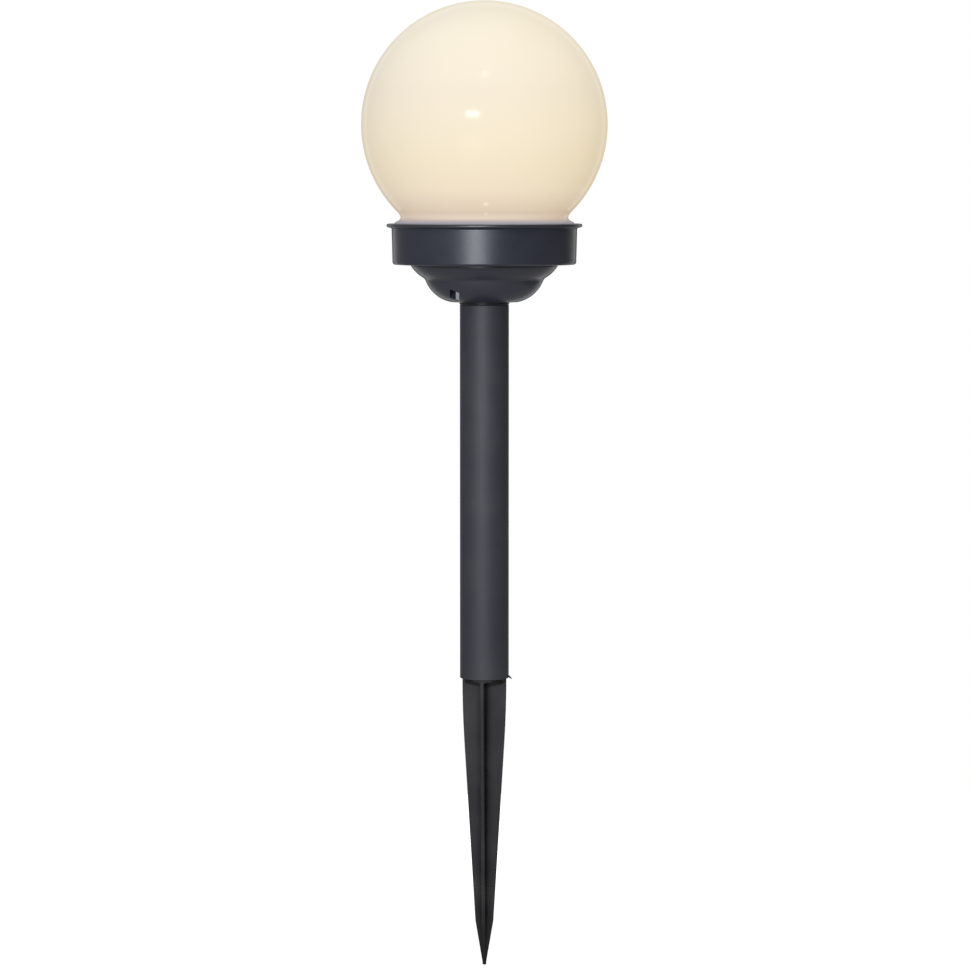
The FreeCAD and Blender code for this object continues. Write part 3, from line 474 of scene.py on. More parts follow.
@dataclass(frozen=True)
class FinPlastic(Plastic):
    """Plastic of crossed fins, with painted shade in their inner corners and on their tops.

    How far out a point lies is the larger of its two distances across the fins, which stand
    turned by a few degrees. The painted shade fades over the corner span of that way. A painted
    shadow of the tube's rim also fills the top between the fins, where a point is higher than
    the shelf and further in than the rim. The plug above the shoulder is left unshaded.
    """

    turn: float = 6.8
    corner_span: Span = (0.0009, 0.0050)
    rim_span: Span = (0.0090, 0.0096)
    shelf_span: Span = (-0.0038, -0.00285)
    shoulder_span: Span = (-0.0004, 0.0)
    # Share of the colour that is left in the painted shade and the painted shadow.
    painted_shade: float = 0.12

    def tone(self, coat: Coat) -> Value:
        """Colour of the plastic, with painted shade in the corners and a painted shadow on the
        tops.

        Args:
            coat: the material's graph.

        Returns:
            The colour's socket.
        """
        square = coat.add("ShaderNodeMapping",
                          {"Vector": coat.place,
                           "Rotation": (0.0, 0.0, math.radians(self.turn))})
        parts = coat.parts(square.outputs[0])
        out = coat.maths("MAXIMUM", coat.maths("ABSOLUTE", parts["X"]),
                         coat.maths("ABSOLUTE", parts["Y"]))
        # Painted shade in the inner corners between the fins.
        corner_shade = coat.steps(out, *self.corner_span, 1.0, 0.0)
        # Painted shadow of the tube's lower rim on the tops between the fins.
        under = coat.maths("MULTIPLY", coat.steps(parts["Z"], *self.shelf_span),
                           coat.steps(out, *self.rim_span, 1.0, 0.0))
        # Keeps the painted shade and shadow below the shoulder, off the plug.
        below = coat.steps(parts["Z"], *self.shoulder_span, 1.0, 0.0)
        shade_mask = coat.maths("MULTIPLY", coat.maths("MAXIMUM", corner_shade, under), below)
        return coat.blend(shade_mask, self.colour, tuple(value * self.painted_shade for value in self.colour))


@dataclass(frozen=True)
class Glimpse:
    """Painted light spot of a lamp glimpsed through the wall: its height, its spot's radius and
    its strength.
    """

    level: float
    radius: float
    strength: float


@dataclass(frozen=True)
class Opal:
    """Glossy opal wall with a painted glow, and painted light spots where the lamps are glimpsed
    through it.

    The tone follows the height: grey on the flange, and painted shade at the neck, because the
    turret inside the neck darkens the wall in front of it. The glow is painted light that stands
    for the light that the hollow ball passes on from its other sides. A spot's distance across
    counts only in part, which makes it wider than high. The spots lie on the front and the back
    alone, further out along Y than the spot span.
    """

    name: str
    tones: tuple[tuple[float, Colour], ...]
    # Strength of the painted glow, which the wall gives off though it is no lamp.
    glow: float = 0.42
    wall_share: float = 0.50
    roughness: float = 0.14
    edge_roughness: float = 0.90
    specular: float = 0.045
    grain_depth: float = 0.000004
    # Painted light spots in front of the lamps.
    glimpses: tuple[Glimpse, ...] = (Glimpse(0.2328, 0.0015, 1.0),
                                     Glimpse(0.2280, 0.0011, 0.35))
    spot_side: float = 0.0008
    spot_across: float = 0.7
    spot_span: Span = (0.036, 0.040)
    lamp_colour: Colour = (1.0, 0.88, 0.68)

    def tone(self, coat: Coat) -> Value:
        """Colour by height, with painted shade at the neck and a painted light spot in front of
        each lamp.

        Args:
            coat: the material's graph.

        Returns:
            The colour's socket.
        """
        parts = coat.parts(coat.place)
        # Ramp of tones by height, with painted shade at the neck.
        low, high = self.tones[0][0], self.tones[-1][0]
        share = coat.add("ShaderNodeMapRange", {"Value": parts["Z"], "From Min": low,
                                                "From Max": high}).outputs[0]
        ramp = coat.add("ShaderNodeValToRGB", {0: share})
        stops = ramp.color_ramp.elements
        while len(stops) < len(self.tones):
            stops.new(0.5)
        for stop, (level, colour) in zip(stops, self.tones):
            stop.position = (level - low) / (high - low)
            stop.color = (*colour, 1.0)
        # Painted light spots where the lamps show through the wall.
        outer = coat.steps(coat.maths("ABSOLUTE", parts["Y"]), *self.spot_span)
        across = coat.maths("MULTIPLY", coat.maths("SUBTRACT", parts["X"], self.spot_side),
                            self.spot_across)
        tone = ramp.outputs[0]
        for glimpse in self.glimpses:
            away = coat.reach(across, coat.maths("SUBTRACT", parts["Z"], glimpse.level))
            spot = coat.steps(away, 0.0, glimpse.radius, glimpse.strength, 0.0)
            tone = coat.blend(coat.maths("MULTIPLY", spot, outer), tone, self.lamp_colour)
        return tone

    def material(self) -> Material:
        """Makes the wall's material.

        Returns:
            The material.
        """
        coat = Coat(self.name)
        skin = MouldedSkin.put(coat, coat.place, {
            "Colour": self.tone(coat), "Roughness": self.roughness, "Patchiness": 0.03,
            "Gloss Drift": 0.03, "Cloud Scale": 30.0, "Grain Scale": 700.0})
        return coat.finish({"Base Color": coat.scaled(skin["Colour Out"], self.wall_share),
                            "Emission Color": skin["Colour Out"],
                            "Emission Strength": self.glow,
                            "Roughness": coat.softened(skin["Rough"], self.edge_roughness),
                            "Specular IOR Level": self.specular},
                           skin["Height"], self.grain_depth)


@dataclass(frozen=True)
class PlatedMetal:
    """Zinc-plated or tinned metal with fine turning marks."""

    name: str
    colour: Colour
    roughness: float = 0.32
    grain_depth: float = 0.00001

    def material(self) -> Material:
        """Makes the metal's material.

        Returns:
            The material.
        """
        coat = Coat(self.name)
        skin = MouldedSkin.put(coat, coat.place, {
            "Colour": self.colour, "Roughness": self.roughness, "Patchiness": 0.3,
            "Gloss Drift": 0.25, "Cloud Scale": 400.0, "Grain Scale": 6000.0})
        return coat.finish({"Base Color": skin["Colour Out"], "Roughness": skin["Rough"],
                            "Metallic": 1.0}, skin["Height"], self.grain_depth)


@dataclass(frozen=True)
class ClearResin:
    """Clear resin, poured or cast."""

    name: str
    colour: Colour
    roughness: float = 0.06
    clearness: float = 0.9
    refraction: float = 1.49
    grain_depth: float = 0.00001

    def material(self) -> Material:
        """Makes the resin's material.

        Returns:
            The material.
        """
        coat = Coat(self.name)
        skin = MouldedSkin.put(coat, coat.place, {
            "Colour": self.colour, "Roughness": self.roughness, "Patchiness": 0.05,
            "Gloss Drift": 0.04, "Cloud Scale": 60.0, "Grain Scale": 300.0})
        return coat.finish({"Base Color": skin["Colour Out"], "Roughness": skin["Rough"],
                            "Transmission Weight": self.clearness, "IOR": self.refraction},
                           skin["Height"], self.grain_depth)


@dataclass(frozen=True)
class Ruled:
    """Flat electrical piece with fine parallel lines: board tracks or a cell's fingers."""

    name: str
    colour: Colour
    line_colour: Colour
    line_pitch: float
    line_share: float
    line_height: float = 0.6
    roughness: float = 0.35
    grain_depth: float = 0.00002

    def material(self) -> Material:
        """Makes the ruled material.

        Returns:
            The material.
        """
        coat = Coat(self.name)
        phase = coat.maths("FRACT", coat.maths("DIVIDE", coat.parts(coat.place)["Y"],
                                               self.line_pitch))
        line = coat.maths("LESS_THAN", phase, self.line_share)
        skin = MouldedSkin.put(coat, coat.place, {
            "Colour": self.colour, "Roughness": self.roughness, "Patchiness": 0.3,
            "Cloud Scale": 120.0})
        height = coat.maths("MULTIPLY_ADD", line, self.line_height, skin["Height"])
        return coat.finish({"Base Color": coat.blend(line, skin["Colour Out"],
                                                     self.line_colour),
                            "Roughness": skin["Rough"]}, height, self.grain_depth)


ANTHRACITE = Plastic("anthracite_plastic", srgb(30, 34, 48), roughness=0.35, specular=0.90)
TUBE_ANTHRACITE = Plastic("tube_plastic", srgb(29, 33, 44), roughness=0.64, specular=0.90,
                          grain=Grain.DRAWN, grain_scale=1400.0, scratch_amount=0.14)
SPIKE_BLACK = FinPlastic("spike_plastic", srgb(39, 38, 40), roughness=0.5, specular=0.18,
                         scratch_amount=0.22, dust_amount=0.08)
COLLAR_BLACK = Plastic("collar_plastic", srgb(31, 33, 39), roughness=0.42)
TURRET_WHITE = Plastic("turret_plastic", srgb(214, 208, 198), roughness=0.45,
                       patchiness=0.06, scratch_amount=0.0, dust_amount=0.02)
KNOB_GREY = Plastic("knob_plastic", srgb(156, 156, 160), roughness=0.45, scratch_amount=0.0)
PART_BLACK = Plastic("part_plastic", srgb(26, 26, 27), roughness=0.5)
SEAL_RUBBER = Plastic("seal_rubber", srgb(34, 34, 35), roughness=0.75, specular=0.3)
WIRE_RED = Plastic("red_wire_skin", srgb(150, 30, 26))
WIRE_BLACK = Plastic("black_wire_skin", srgb(30, 30, 32))
CELL_WRAP = Plastic("cell_wrap", srgb(58, 120, 74), roughness=0.28)
PLATED = PlatedMetal("plated_metal", srgb(176, 174, 168))
BOARD_GREEN = Ruled("board_green", srgb(28, 84, 48), srgb(70, 128, 78),
                    line_pitch=0.0019, line_share=0.35)
CELL_BLUE = Ruled("cell_blue", srgb(26, 32, 66), srgb(150, 152, 158),
                  line_pitch=0.0024, line_share=0.05, roughness=0.2)
PANEL_RESIN = ClearResin("panel_resin", srgb(236, 240, 242))
LED_RESIN = ClearResin("led_resin", srgb(252, 236, 196))
# Tones by height: grey on the flange, with painted shade at the neck in front of the turret.
OPAL = Opal("opal_plastic", tones=(
    (0.2215, srgb(155, 154, 163)), (0.2238, srgb(160, 160, 170)),
    (0.2262, srgb(225, 206, 187)), (0.2300, srgb(238, 218, 193)),
    (0.2318, srgb(239, 220, 195)), (0.2350, srgb(241, 223, 198)),
    (0.2395, srgb(243, 227, 200)), (0.2540, srgb(239, 225, 197)),
    (0.2860, srgb(233, 222, 202)), (0.3310, srgb(241, 233, 214))))


# Surfaces

@dataclass
class Surface:
    """Vertices in millimetres and blocks of faces, each face a row of vertex numbers."""

    vertices: np.ndarray
    blocks: list[np.ndarray]

    def __add__(self, other: "Surface") -> "Surface":
        """Both surfaces as one."""
        moved = [block + len(self.vertices) for block in other.blocks]
        return Surface(np.vstack([self.vertices, other.vertices]), self.blocks + moved)

    def mesh(self, name: str) -> Mesh:
        """Blender mesh in metres, smooth but for its sharp edges.

        Args:
            name: name of the mesh.

        Returns:
            The mesh.
        """
        faces = [face for block in self.blocks for face in block.tolist()]
        mesh = bpy.data.meshes.new(name)
        mesh.from_pydata((self.vertices * MM).tolist(), [], faces)
        mesh.validate()
        mesh.shade_smooth()
        mesh.set_sharp_from_angle(angle=SMOOTH_LIMIT)
        return mesh


def numbered(grid: np.ndarray, loop_rows: bool, loop_columns: bool) -> np.ndarray:
    """Vertex numbers of a grid, its first row or column repeated where it closes on itself."""
    number = np.arange(grid[..., 0].size).reshape(grid.shape[:2])
    return np.pad(number, ((0, int(loop_rows)), (0, int(loop_columns))), mode="wrap")


def quads(number: np.ndarray) -> np.ndarray:
    """Faces between neighbouring rows and columns of vertex numbers."""
    return np.stack([number[:-1, :-1], number[:-1, 1:], number[1:, 1:], number[1:, :-1]],
                    axis=2).reshape(-1, 4)


def arc(centre: Span, radius: float, start: float, end: float, steps: int) -> np.ndarray:
    """Points of a circle's arc between two angles in degrees, from +r towards +z."""
    angle = np.radians(np.linspace(start, end, steps + 1))
    return np.stack([centre[0] + radius * np.cos(angle), centre[1] + radius * np.sin(angle)], 1)


def rounded(corners: Sequence[Span], radii: float | Sequence[float],
            steps: int = ARC_STEPS) -> np.ndarray:
    """Closed outline whose corners turn through arcs.

    Each corner becomes points on the circle that touches both of its sides: the two radii to
    the touching points are turned one into the other in equal angles.

    Args:
        corners: the outline's corners in order.
        radii: radius of every corner, or one for all of them.
        steps: number of steps in each arc.

    Returns:
        The outline's points.
    """
    points = np.array(corners, float)
    radius = np.broadcast_to(np.array(radii, float), len(points))[:, None]
    back = np.roll(points, 1, axis=0) - points
    ahead = np.roll(points, -1, axis=0) - points
    back /= np.linalg.norm(back, axis=1, keepdims=True)
    ahead /= np.linalg.norm(ahead, axis=1, keepdims=True)
    half = np.arccos(np.clip((back * ahead).sum(1, keepdims=True), -1.0, 1.0)) / 2
    inward = (back + ahead) / (2 * np.cos(half))
    centre = points + inward * radius / np.sin(half)
    first = (points + back * radius / np.tan(half) - centre)[:, None]
    last = (points + ahead * radius / np.tan(half) - centre)[:, None]
    share = np.linspace(0.0, 1.0, steps + 1)[None, :, None]
    sweep = (math.pi - 2 * half)[:, None]
    way = (np.sin((1 - share) * sweep) * first + np.sin(share * sweep) * last) / np.sin(sweep)
    return (centre[:, None] + way).reshape(-1, 2)


def rectangle(inner: float, outer: float, floor: float, top: float, edge: float,
              steps: int = ARC_STEPS) -> np.ndarray:
    """Rounded rectangle between two radii and two heights, as an outline."""
    corners = [(inner, floor), (outer, floor), (outer, top), (inner, top)]
    return rounded(corners, edge, steps)


def carried(section: np.ndarray, steps: int, start: float = 0.0, sweep: float = 360.0,
            rise: float = 0.0) -> Surface:
    """Section of radii and heights carried round the Z axis.

    Point (i, j) of the grid is (r_i cos a_j, r_i sin a_j, z_i + rise (a_j - start) / sweep). A
    section that starts and ends on the axis goes the whole way round and closes at two poles.
    Any other is a loop, and flat caps close the ends of its part turn or climb.

    Args:
        section: radii and heights, anticlockwise with r to the right and z up.
        steps: number of steps round the axis.
        start: first angle from +X, in degrees.
        sweep: angle that it goes through, in degrees.
        rise: height that it climbs in all.

    Returns:
        The closed surface.
    """
    whole = rise == 0.0 and sweep == 360.0
    poles = section[0, 0] == 0.0 and section[-1, 0] == 0.0
    rim = section[1:-1] if poles else section
    share = np.arange(steps if whole else steps + 1) / steps
    angle = np.radians(start + sweep * share)
    grid = np.stack([rim[:, :1] * np.cos(angle), rim[:, :1] * np.sin(angle),
                     rim[:, 1:] + rise * share], axis=2)
    number = numbered(grid, not poles, whole)
    vertices, blocks = grid.reshape(-1, 3), [quads(number)]
    if poles:
        for height, ring in ((section[0, 1], number[0, ::-1]), (section[-1, 1], number[-1])):
            pole = np.full(len(ring) - 1, len(vertices))
            blocks.append(np.stack([pole, ring[:-1], ring[1:]], 1))
            vertices = np.vstack([vertices, [0.0, 0.0, height]])
    if not whole:
        blocks += [number[None, :-1, 0], number[None, -2::-1, -1]]
    return Surface(vertices, blocks)


# Sub-assemblies

@dataclass
class SubAssembly:
    """Group of pieces that are built and dressed together, in millimetres and degrees."""

    nodes: dict[str, Object]
    finishes: ClassVar[dict[str, Finish]] = {}

    def dress(self) -> None:
        """Gives each of the group's own nodes its finish."""
        for node, finish in self.finishes.items():
            slots = self.nodes[node].data.materials
            slots.clear()
            slots.append(material_of(finish))
            log.info("dressed %s as %s", node, finish.name)

    def put(self, name: str, shape: Surface, finish: Finish, body: Body, slot: str,
            *replaced: str) -> None:
        """Adds a piece.

        Args:
            name: name of the piece.
            shape: its surface.
            finish: what it is dressed as.
            body: the body that it moves with.
            slot: the record's material slot; not used.
            replaced: nodes that it stands for.
        """
        piece = bpy.data.objects.new(name, shape.mesh(name))
        bpy.context.scene.collection.objects.link(piece)
        piece.data.materials.append(material_of(finish))
        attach(piece, body.value)
        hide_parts(*replaced)
        log.info("built %s: %d faces", name, len(piece.data.polygons))

    def build(self) -> None:
        """Dresses the nodes; a group with pieces of its own adds them here."""
        self.dress()


@dataclass
class GlobeUnit(SubAssembly):
    """Opal ball with its neck, flange, skirt and lugs, and the seal under the flange."""

    radius: float = 60.0
    wall: float = 1.6
    centre: float = 271.2
    skirt_radius: float = 41.0
    skirt_floor: float = 212.4
    skirt_edge: float = 0.3
    flange_radius: float = 43.8
    flange_floor: float = 221.9
    flange_top: float = 223.7
    flange_edge: float = 0.35
    flange_root: float = 0.1
    cone_end: Span = (41.6, 224.8)
    cone_round: float = 0.8
    neck: Span = (40.9, 225.9)
    join_radius: float = 42.15
    join_level: float = 228.5
    lugs: int = 3
    lug_tip: float = 37.9
    lug_root: float = 40.2
    lug_floor: float = 212.7
    lug_height: float = 2.2
    lug_edge: float = 0.25
    lug_turn: float = 20.0
    lug_span: float = 14.0
    pitch: float = 24.0
    seal_inner: float = 41.4
    seal_outer: float = 43.7
    seal_floor: float = 220.1
    seal_edge: float = 0.4
    segments: int = 288
    bore_steps: int = 110
    shoulder_steps: int = 12
    ball_steps: int = 120
    lug_steps: int = 16
    lug_edge_steps: int = 4

    def shoulder(self) -> np.ndarray:
        """Outer outline from the neck up to the ball, as one smooth curve.

        It is the cubic with the neck's upright tangent at its start and the ball's tangent at
        its end.

        Returns:
            Radii and heights.
        """
        share = np.linspace(0.0, 1.0, self.shoulder_steps + 1)[:, None]
        first = np.array(self.neck)
        last = np.array([self.join_radius, self.join_level])
        out = (last - [0.0, self.centre]) / self.radius
        span = self.join_level - self.neck[1]
        leave = np.array([0.0, span])
        arrive = np.array([-out[1], out[0]]) * span
        return ((2 * share**3 - 3 * share**2 + 1) * first
                + (share**3 - 2 * share**2 + share) * leave
                + (3 * share**2 - 2 * share**3) * last + (share**3 - share**2) * arrive)

    def outline(self) -> np.ndarray:
        """Outline of the wall, from the inner pole down and up to the outer one.

        The bore's arc ends where it meets the skirt's bore. The skirt's last two corners only
        close its outline, so their points are left out, and the shoulder and the ball's arc
        follow.

        Returns:
            Radii and heights.
        """
        bore = self.radius - self.wall
        skirt_bore = self.skirt_radius - self.wall
        bore_end = math.degrees(math.acos(skirt_bore / bore))
        inner = arc((0.0, self.centre), bore, 90.0, -bore_end, self.bore_steps)
        inner[0] = (0.0, self.centre + bore)
        corners = [(skirt_bore, self.skirt_floor), (self.skirt_radius, self.skirt_floor),
                   (self.skirt_radius, self.flange_floor),
                   (self.flange_radius, self.flange_floor),
                   (self.flange_radius, self.flange_top), self.cone_end, self.neck,
                   (skirt_bore, self.neck[1])]
        skirt = rounded(corners, (self.skirt_edge, self.skirt_edge, self.flange_root,
                                  self.flange_edge, self.flange_edge, self.cone_round,
                                  0.0, 0.0))
        per_corner = len(skirt) // len(corners)
        join = math.degrees(math.asin((self.join_level - self.centre) / self.radius))
        outer = arc((0.0, self.centre), self.radius, join, 90.0, self.ball_steps)[1:]
        outer[-1] = (0.0, self.centre + self.radius)
        return np.vstack([inner, skirt[:-2 * per_corner], self.shoulder(), outer])

    def lug(self, number: int) -> Surface:
        """One of the lugs inside the skirt, a rounded block on the coarse thread's climb.

        Args:
            number: which of the lugs it is, from 0.

        Returns:
            The lug.
        """
        top = self.lug_floor + self.lug_height
        section = rectangle(self.lug_tip, self.lug_root, self.lug_floor, top, self.lug_edge,
                            self.lug_edge_steps)
        start = self.lug_turn + 360.0 / self.lugs * number
        return carried(section, self.lug_steps, start, self.lug_span,
                       self.pitch * self.lug_span / 360.0)

    def build(self) -> None:
        """Builds the ball and the seal."""
        ball = carried(self.outline(), self.segments)
        for number in range(self.lugs):
            ball = ball + self.lug(number)
        self.put("globe_wall", ball, OPAL, Body.GLOBE, "opal_plastic", "globe")
        seal = rectangle(self.seal_inner, self.seal_outer, self.seal_floor, self.flange_floor,
                         self.seal_edge)
        self.put("seal_ring", carried(seal, self.segments), SEAL_RUBBER, Body.SEAL,
                 "seal_rubber", "neck_seal")


@dataclass
class HeadUnit(SubAssembly):
    """Dark housing with its gasket, and the turret plate that its screws hold."""

    finishes: ClassVar[dict[str, Finish]] = {
        "base_housing": ANTHRACITE,
        "housing_gasket": SEAL_RUBBER,
        "carrier_plate": TURRET_WHITE,
        "plate_screws": PLATED,
    }


@dataclass
class LampUnit(SubAssembly):
    """Solar panel on the turret, the two lamps and the circuit board that drives them."""

    finishes: ClassVar[dict[str, Finish]] = {
        "solar_panel_board": BOARD_GREEN,
        "solar_cells": CELL_BLUE,
        "panel_resin": PANEL_RESIN,
        "panel_wires": WIRE_RED,
        "led_lenses": LED_RESIN,
        "led_leads": PLATED,
        "circuit_board": BOARD_GREEN,
        "board_screws": PLATED,
        "driver_chip": PART_BLACK,
        "inductor": PART_BLACK,
        "capacitor": CELL_WRAP,
    }


@dataclass
class PowerUnit(SubAssembly):
    """Battery in its holder with the two contacts, the wound spring and the wires."""

    finishes: ClassVar[dict[str, Finish]] = {
        "battery_holder": PART_BLACK,
        "holder_screws": PLATED,
        "battery_cell": CELL_WRAP,
        "negative_contact": PLATED,
        "positive_contact": PLATED,
        "battery_wires": WIRE_RED,
    }
    spring_radius: float = 3.6
    spring_wire: float = 0.7
    spring_turns: float = 2.5
    wire_sides: int = 12
    coil_steps: int = 90

    def spring(self) -> Surface:
        """Wound spring between the cell and the contact, as wide and long as its node.

        It is a small circle carried round and along an axis, which then lies along Y.

        Returns:
            The spring.
        """
        low, high = (np.array(corner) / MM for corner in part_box("battery_spring"))
        thin = self.spring_wire / 2
        wire = arc((self.spring_radius - thin, thin), thin, 0.0, 360.0, self.wire_sides)[:-1]
        coil = carried(wire, self.coil_steps, 0.0, 360.0 * self.spring_turns,
                       high[1] - low[1] - self.spring_wire)
        middle = (low + high) / 2
        along = np.stack([middle[0] + coil.vertices[:, 1], low[1] + coil.vertices[:, 2],
                          middle[2] + coil.vertices[:, 0]], 1)
        return Surface(along, coil.blocks)

    def build(self) -> None:
        """Dresses the nodes and winds the spring."""
        self.dress()
        self.put("wound_spring", self.spring(), PLATED, Body.HEAD, "steel", "battery_spring")


@dataclass
class SwitchUnit(SubAssembly):
    """Slide switch behind the window in the bowl."""

    finishes: ClassVar[dict[str, Finish]] = {
        "switch_frame": PLATED,
        "switch_body": PART_BLACK,
        "switch_terminals": PLATED,
        "switch_knob": KNOB_GREY,
        "switch_wires": WIRE_BLACK,
    }


@dataclass
class PoleUnit(SubAssembly):
    """Drawn tube with its sawn ends, and the collar that plugs into its top."""

    finishes: ClassVar[dict[str, Finish]] = {"pole_adaptor": COLLAR_BLACK}
    radius: float = 12.0
    bore: float = 10.4
    length: float = 183.5
    edge: float = 0.25
    burr_turn: float = -8.0
    burr_root: float = 0.7
    burr_length: float = 2.5
    burr_width: float = 1.6
    burr_flatness: float = 0.8
    burr_taper: float = 0.93
    burr_level: float = 1.1
    burr_sink: float = 1.7
    burr_bend: float = 1.5
    burr_points: int = 12
    burr_sides: int = 10
    segments: int = 192

    def burr(self) -> Surface:
        """Thin whisker of plastic that the saw left at the tube's lower edge.

        A small flattened circle is carried along a bent line that leaves the wall outwards and
        sinks by a power of the way gone, and it shrinks with the cube of that way. The whole
        then turns round the tube's axis.

        Returns:
            The burr.
        """
        way = np.linspace(0.0, 1.0, self.burr_points)[:, None]
        ring = arc((0.0, 0.0), 1.0, 0.0, 360.0, self.burr_sides)[:-1]
        thick = self.burr_width / 2 * (1.0 - self.burr_taper * way**3)
        out = self.radius - self.burr_root + way * self.burr_length
        across = thick * ring[:, 0]
        level = (self.burr_level - self.burr_sink * way**self.burr_bend
                 + thick * self.burr_flatness * ring[:, 1])
        turn = math.radians(self.burr_turn)
        grid = np.stack([out * math.cos(turn) - across * math.sin(turn),
                         out * math.sin(turn) + across * math.cos(turn), level], axis=2)
        number = numbered(grid, False, True)
        return Surface(grid.reshape(-1, 3),
                       [quads(number), number[:1, -2::-1], number[-1:, :-1]])

    def build(self) -> None:
        """Builds the tube and dresses the collar."""
        self.dress()
        section = rectangle(self.bore, self.radius, 0.0, self.length, self.edge)
        tube = carried(section, self.segments) + self.burr()
        self.put("drawn_tube", tube, TUBE_ANTHRACITE, Body.POLE, "anthracite_plastic",
                 "pole_tube")


@dataclass
class SpikeUnit(SubAssembly):
    """Four-fin ground spike with the plug that holds the tube."""

    finishes: ClassVar[dict[str, Finish]] = {"ground_spike": SPIKE_BLACK}


# Stage

@dataclass(frozen=True)
class Lamp:
    """Rectangular soft lamp: where it stands and aims, its sides, watts and colour."""

    name: str
    place: Place
    aim: Place
    width: float
    height: float
    watts: float
    colour: Colour = WHITE


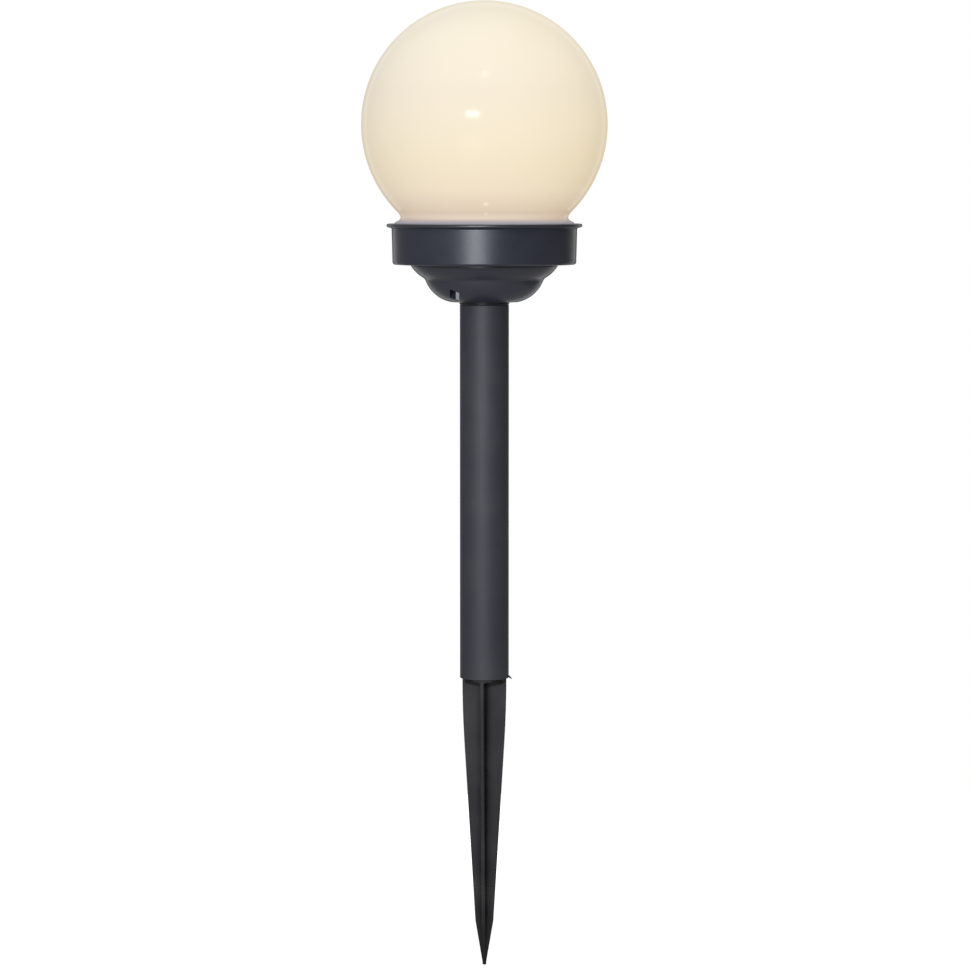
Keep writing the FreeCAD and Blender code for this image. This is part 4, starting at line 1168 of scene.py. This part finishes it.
@dataclass(frozen=True)
class Studio:
    """Camera, lamps, pale floor and white surroundings, in metres.

    The backdrop and the walls fade between the ends of their spans, along Y and X of the
    direction. The soft shares are what the even light gains towards each side.
    """

    camera_place: Place = (0.0003, -1.75, 0.23976)
    camera_aim: Place = (0.0003, 0.0, 0.09515)
    lens: float = 132.771
    sensor: float = 36.0
    lamps: tuple[Lamp, ...] = (
        Lamp("key", (-0.235, -1.255, 0.46), (0.0, 0.0, 0.2), 0.25, 0.09, 8.8, COOL),
        Lamp("low", (-0.24, -1.22, -0.12), (0.0, 0.0, 0.05), 0.42, 0.34, 3.0, COOL),
        Lamp("top", (0.02, -0.9, 1.18), (0.0, 0.0, 0.27), 0.09, 0.09, 1.2))
    soft_light: float = 0.46
    soft_right: float = 0.69
    soft_left: float = 0.27
    soft_below: float = -0.22
    soft_top: float = 0.36
    soft_tint: Colour = (1.0, 0.93, 0.74)
    gloss_front: float = 0.01
    gloss_left: float = 0.22
    gloss_right: float = 0.07
    backdrop_span: Span = (0.64, 0.97)
    left_span: Span = (-0.8, -0.1)
    right_span: Span = (0.3, 0.8)
    floor_half: float = 0.5
    floor_paint: Colour = (0.28, 0.28, 0.28)
    floor_white: float = 1.45
    shadow_share: float = 0.35
    shadow_span: Span = (0.05, 0.30)

    def stand(self, thing: Object, place: Place, aim: Place) -> None:
        """Stands a camera or lamp at a place and turns it towards its aim.

        Args:
            thing: the camera or lamp.
            place: where it stands.
            aim: what it looks at.
        """
        bpy.context.scene.collection.objects.link(thing)
        thing.location = place
        way = Vector(aim) - Vector(place)
        thing.rotation_euler = way.to_track_quat("-Z", "Y").to_euler()

    def camera(self) -> None:
        """Camera at the photograph's angle."""
        data = bpy.data.cameras.new("view")
        data.lens = self.lens
        data.sensor_width = self.sensor
        camera = bpy.data.objects.new("view", data)
        self.stand(camera, self.camera_place, self.camera_aim)
        bpy.context.scene.camera = camera

    def light(self, lamp: Lamp) -> None:
        """Puts up one lamp, unseen itself, so that edges in front of it stay clean.

        Args:
            lamp: the lamp.
        """
        data = bpy.data.lights.new(lamp.name, "AREA")
        data.shape = "RECTANGLE"
        data.size = lamp.width
        data.size_y = lamp.height
        data.energy = lamp.watts
        data.color = lamp.colour
        stood = bpy.data.objects.new(lamp.name, data)
        stood.visible_camera = False
        self.stand(stood, lamp.place, lamp.aim)

    def world(self) -> None:
        """White backdrop for camera, glass and gloss, and an even soft light.

        The backdrop stands behind the light, so gloss meets white only in that direction,
        and dim walls stand on the left and the right.
        """
        world = bpy.data.worlds.new("surroundings")
        bpy.context.scene.world = world
        graph = Graph(emptied(world))
        rays = graph.add("ShaderNodeLightPath").outputs
        seen = graph.maths("MAXIMUM", rays["Is Camera Ray"], rays["Is Transmission Ray"])
        parts = graph.parts(graph.add("ShaderNodeTexCoord").outputs["Generated"])
        backdrop = graph.steps(parts["Y"], *self.backdrop_span, self.gloss_front, 1.0)
        walls = graph.maths("ADD",
                            graph.steps(parts["X"], *self.left_span, self.gloss_left, 0.0),
                            graph.steps(parts["X"], *self.right_span, 0.0, self.gloss_right))
        gloss = graph.maths("MULTIPLY", rays["Is Glossy Ray"],
                            graph.maths("MAXIMUM", backdrop, walls))
        soft = self.soft_light
        for axis, side, share in (("X", 1.0, self.soft_right), ("X", -1.0, self.soft_left),
                                  ("Z", 1.0, self.soft_top), ("Z", -1.0, self.soft_below)):
            far = graph.maths("MULTIPLY", parts[axis], side)
            soft = graph.maths("ADD", graph.steps(far, 0.0, 1.0, 0.0, share), soft)
        soft = graph.maths("MULTIPLY", rays["Is Diffuse Ray"], soft)
        strength = graph.maths("MAXIMUM", seen, graph.maths("MAXIMUM", gloss, soft))
        warm = graph.maths("MULTIPLY", rays["Is Diffuse Ray"],
                           graph.steps(parts["X"], 0.0, 1.0))
        colour = graph.blend(warm, WHITE, self.soft_tint)
        back = graph.add("ShaderNodeBackground", {"Color": colour, "Strength": strength})
        graph.add("ShaderNodeOutputWorld", {"Surface": back.outputs[0]})

    def floor(self, level: float) -> None:
        """Pale floor that fades to the white backdrop away from the light's shadow.

        Its white is above 1, so that where no shadow falls its mix with the paint is white.

        Args:
            level: height of the floor.
        """
        half = self.floor_half
        mesh = bpy.data.meshes.new("floor")
        mesh.from_pydata([(-half, -half, level), (half, -half, level), (half, half, level),
                          (-half, half, level)], [], [(0, 1, 2, 3)])
        floor = bpy.data.objects.new("floor", mesh)
        bpy.context.scene.collection.objects.link(floor)
        material = bpy.data.materials.new("pale_floor")
        graph = Graph(emptied(material))
        rays = graph.add("ShaderNodeLightPath").outputs
        parts = graph.parts(graph.add("ShaderNodeTexCoord").outputs["Object"])
        near = graph.steps(graph.reach(parts["X"], parts["Y"]), *self.shadow_span,
                           self.shadow_share, 0.0)
        white_share = graph.maths("MULTIPLY", rays["Is Camera Ray"],
                                  graph.maths("SUBTRACT", 1.0, near))
        paint = graph.add("ShaderNodeBsdfDiffuse", {"Color": self.floor_paint})
        white = graph.add("ShaderNodeEmission", {"Color": WHITE, "Strength": self.floor_white})
        both = graph.add("ShaderNodeMixShader", {0: white_share, 1: paint.outputs[0],
                                                 2: white.outputs[0]})
        graph.add("ShaderNodeOutputMaterial", {"Surface": both.outputs[0]})
        mesh.materials.append(material)

    def build(self, floor_level: float) -> None:
        """Sets the whole stage.

        Args:
            floor_level: height of the floor.
        """
        self.camera()
        for lamp in self.lamps:
            self.light(lamp)
        self.world()
        self.floor(floor_level)
        bpy.context.scene.view_settings.view_transform = "Standard"


def main() -> None:
    """Builds every sub-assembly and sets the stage."""
    logging.basicConfig(level=logging.INFO, format="%(message)s")
    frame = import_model()
    for unit in (SpikeUnit, PoleUnit, HeadUnit, SwitchUnit, PowerUnit, LampUnit, GlobeUnit):
        unit(frame["nodes"]).build()
        log.info("finished %s", unit.__name__)
    Studio().build(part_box("ground_spike")[0].z)


if __name__ == "__main__":
    main()
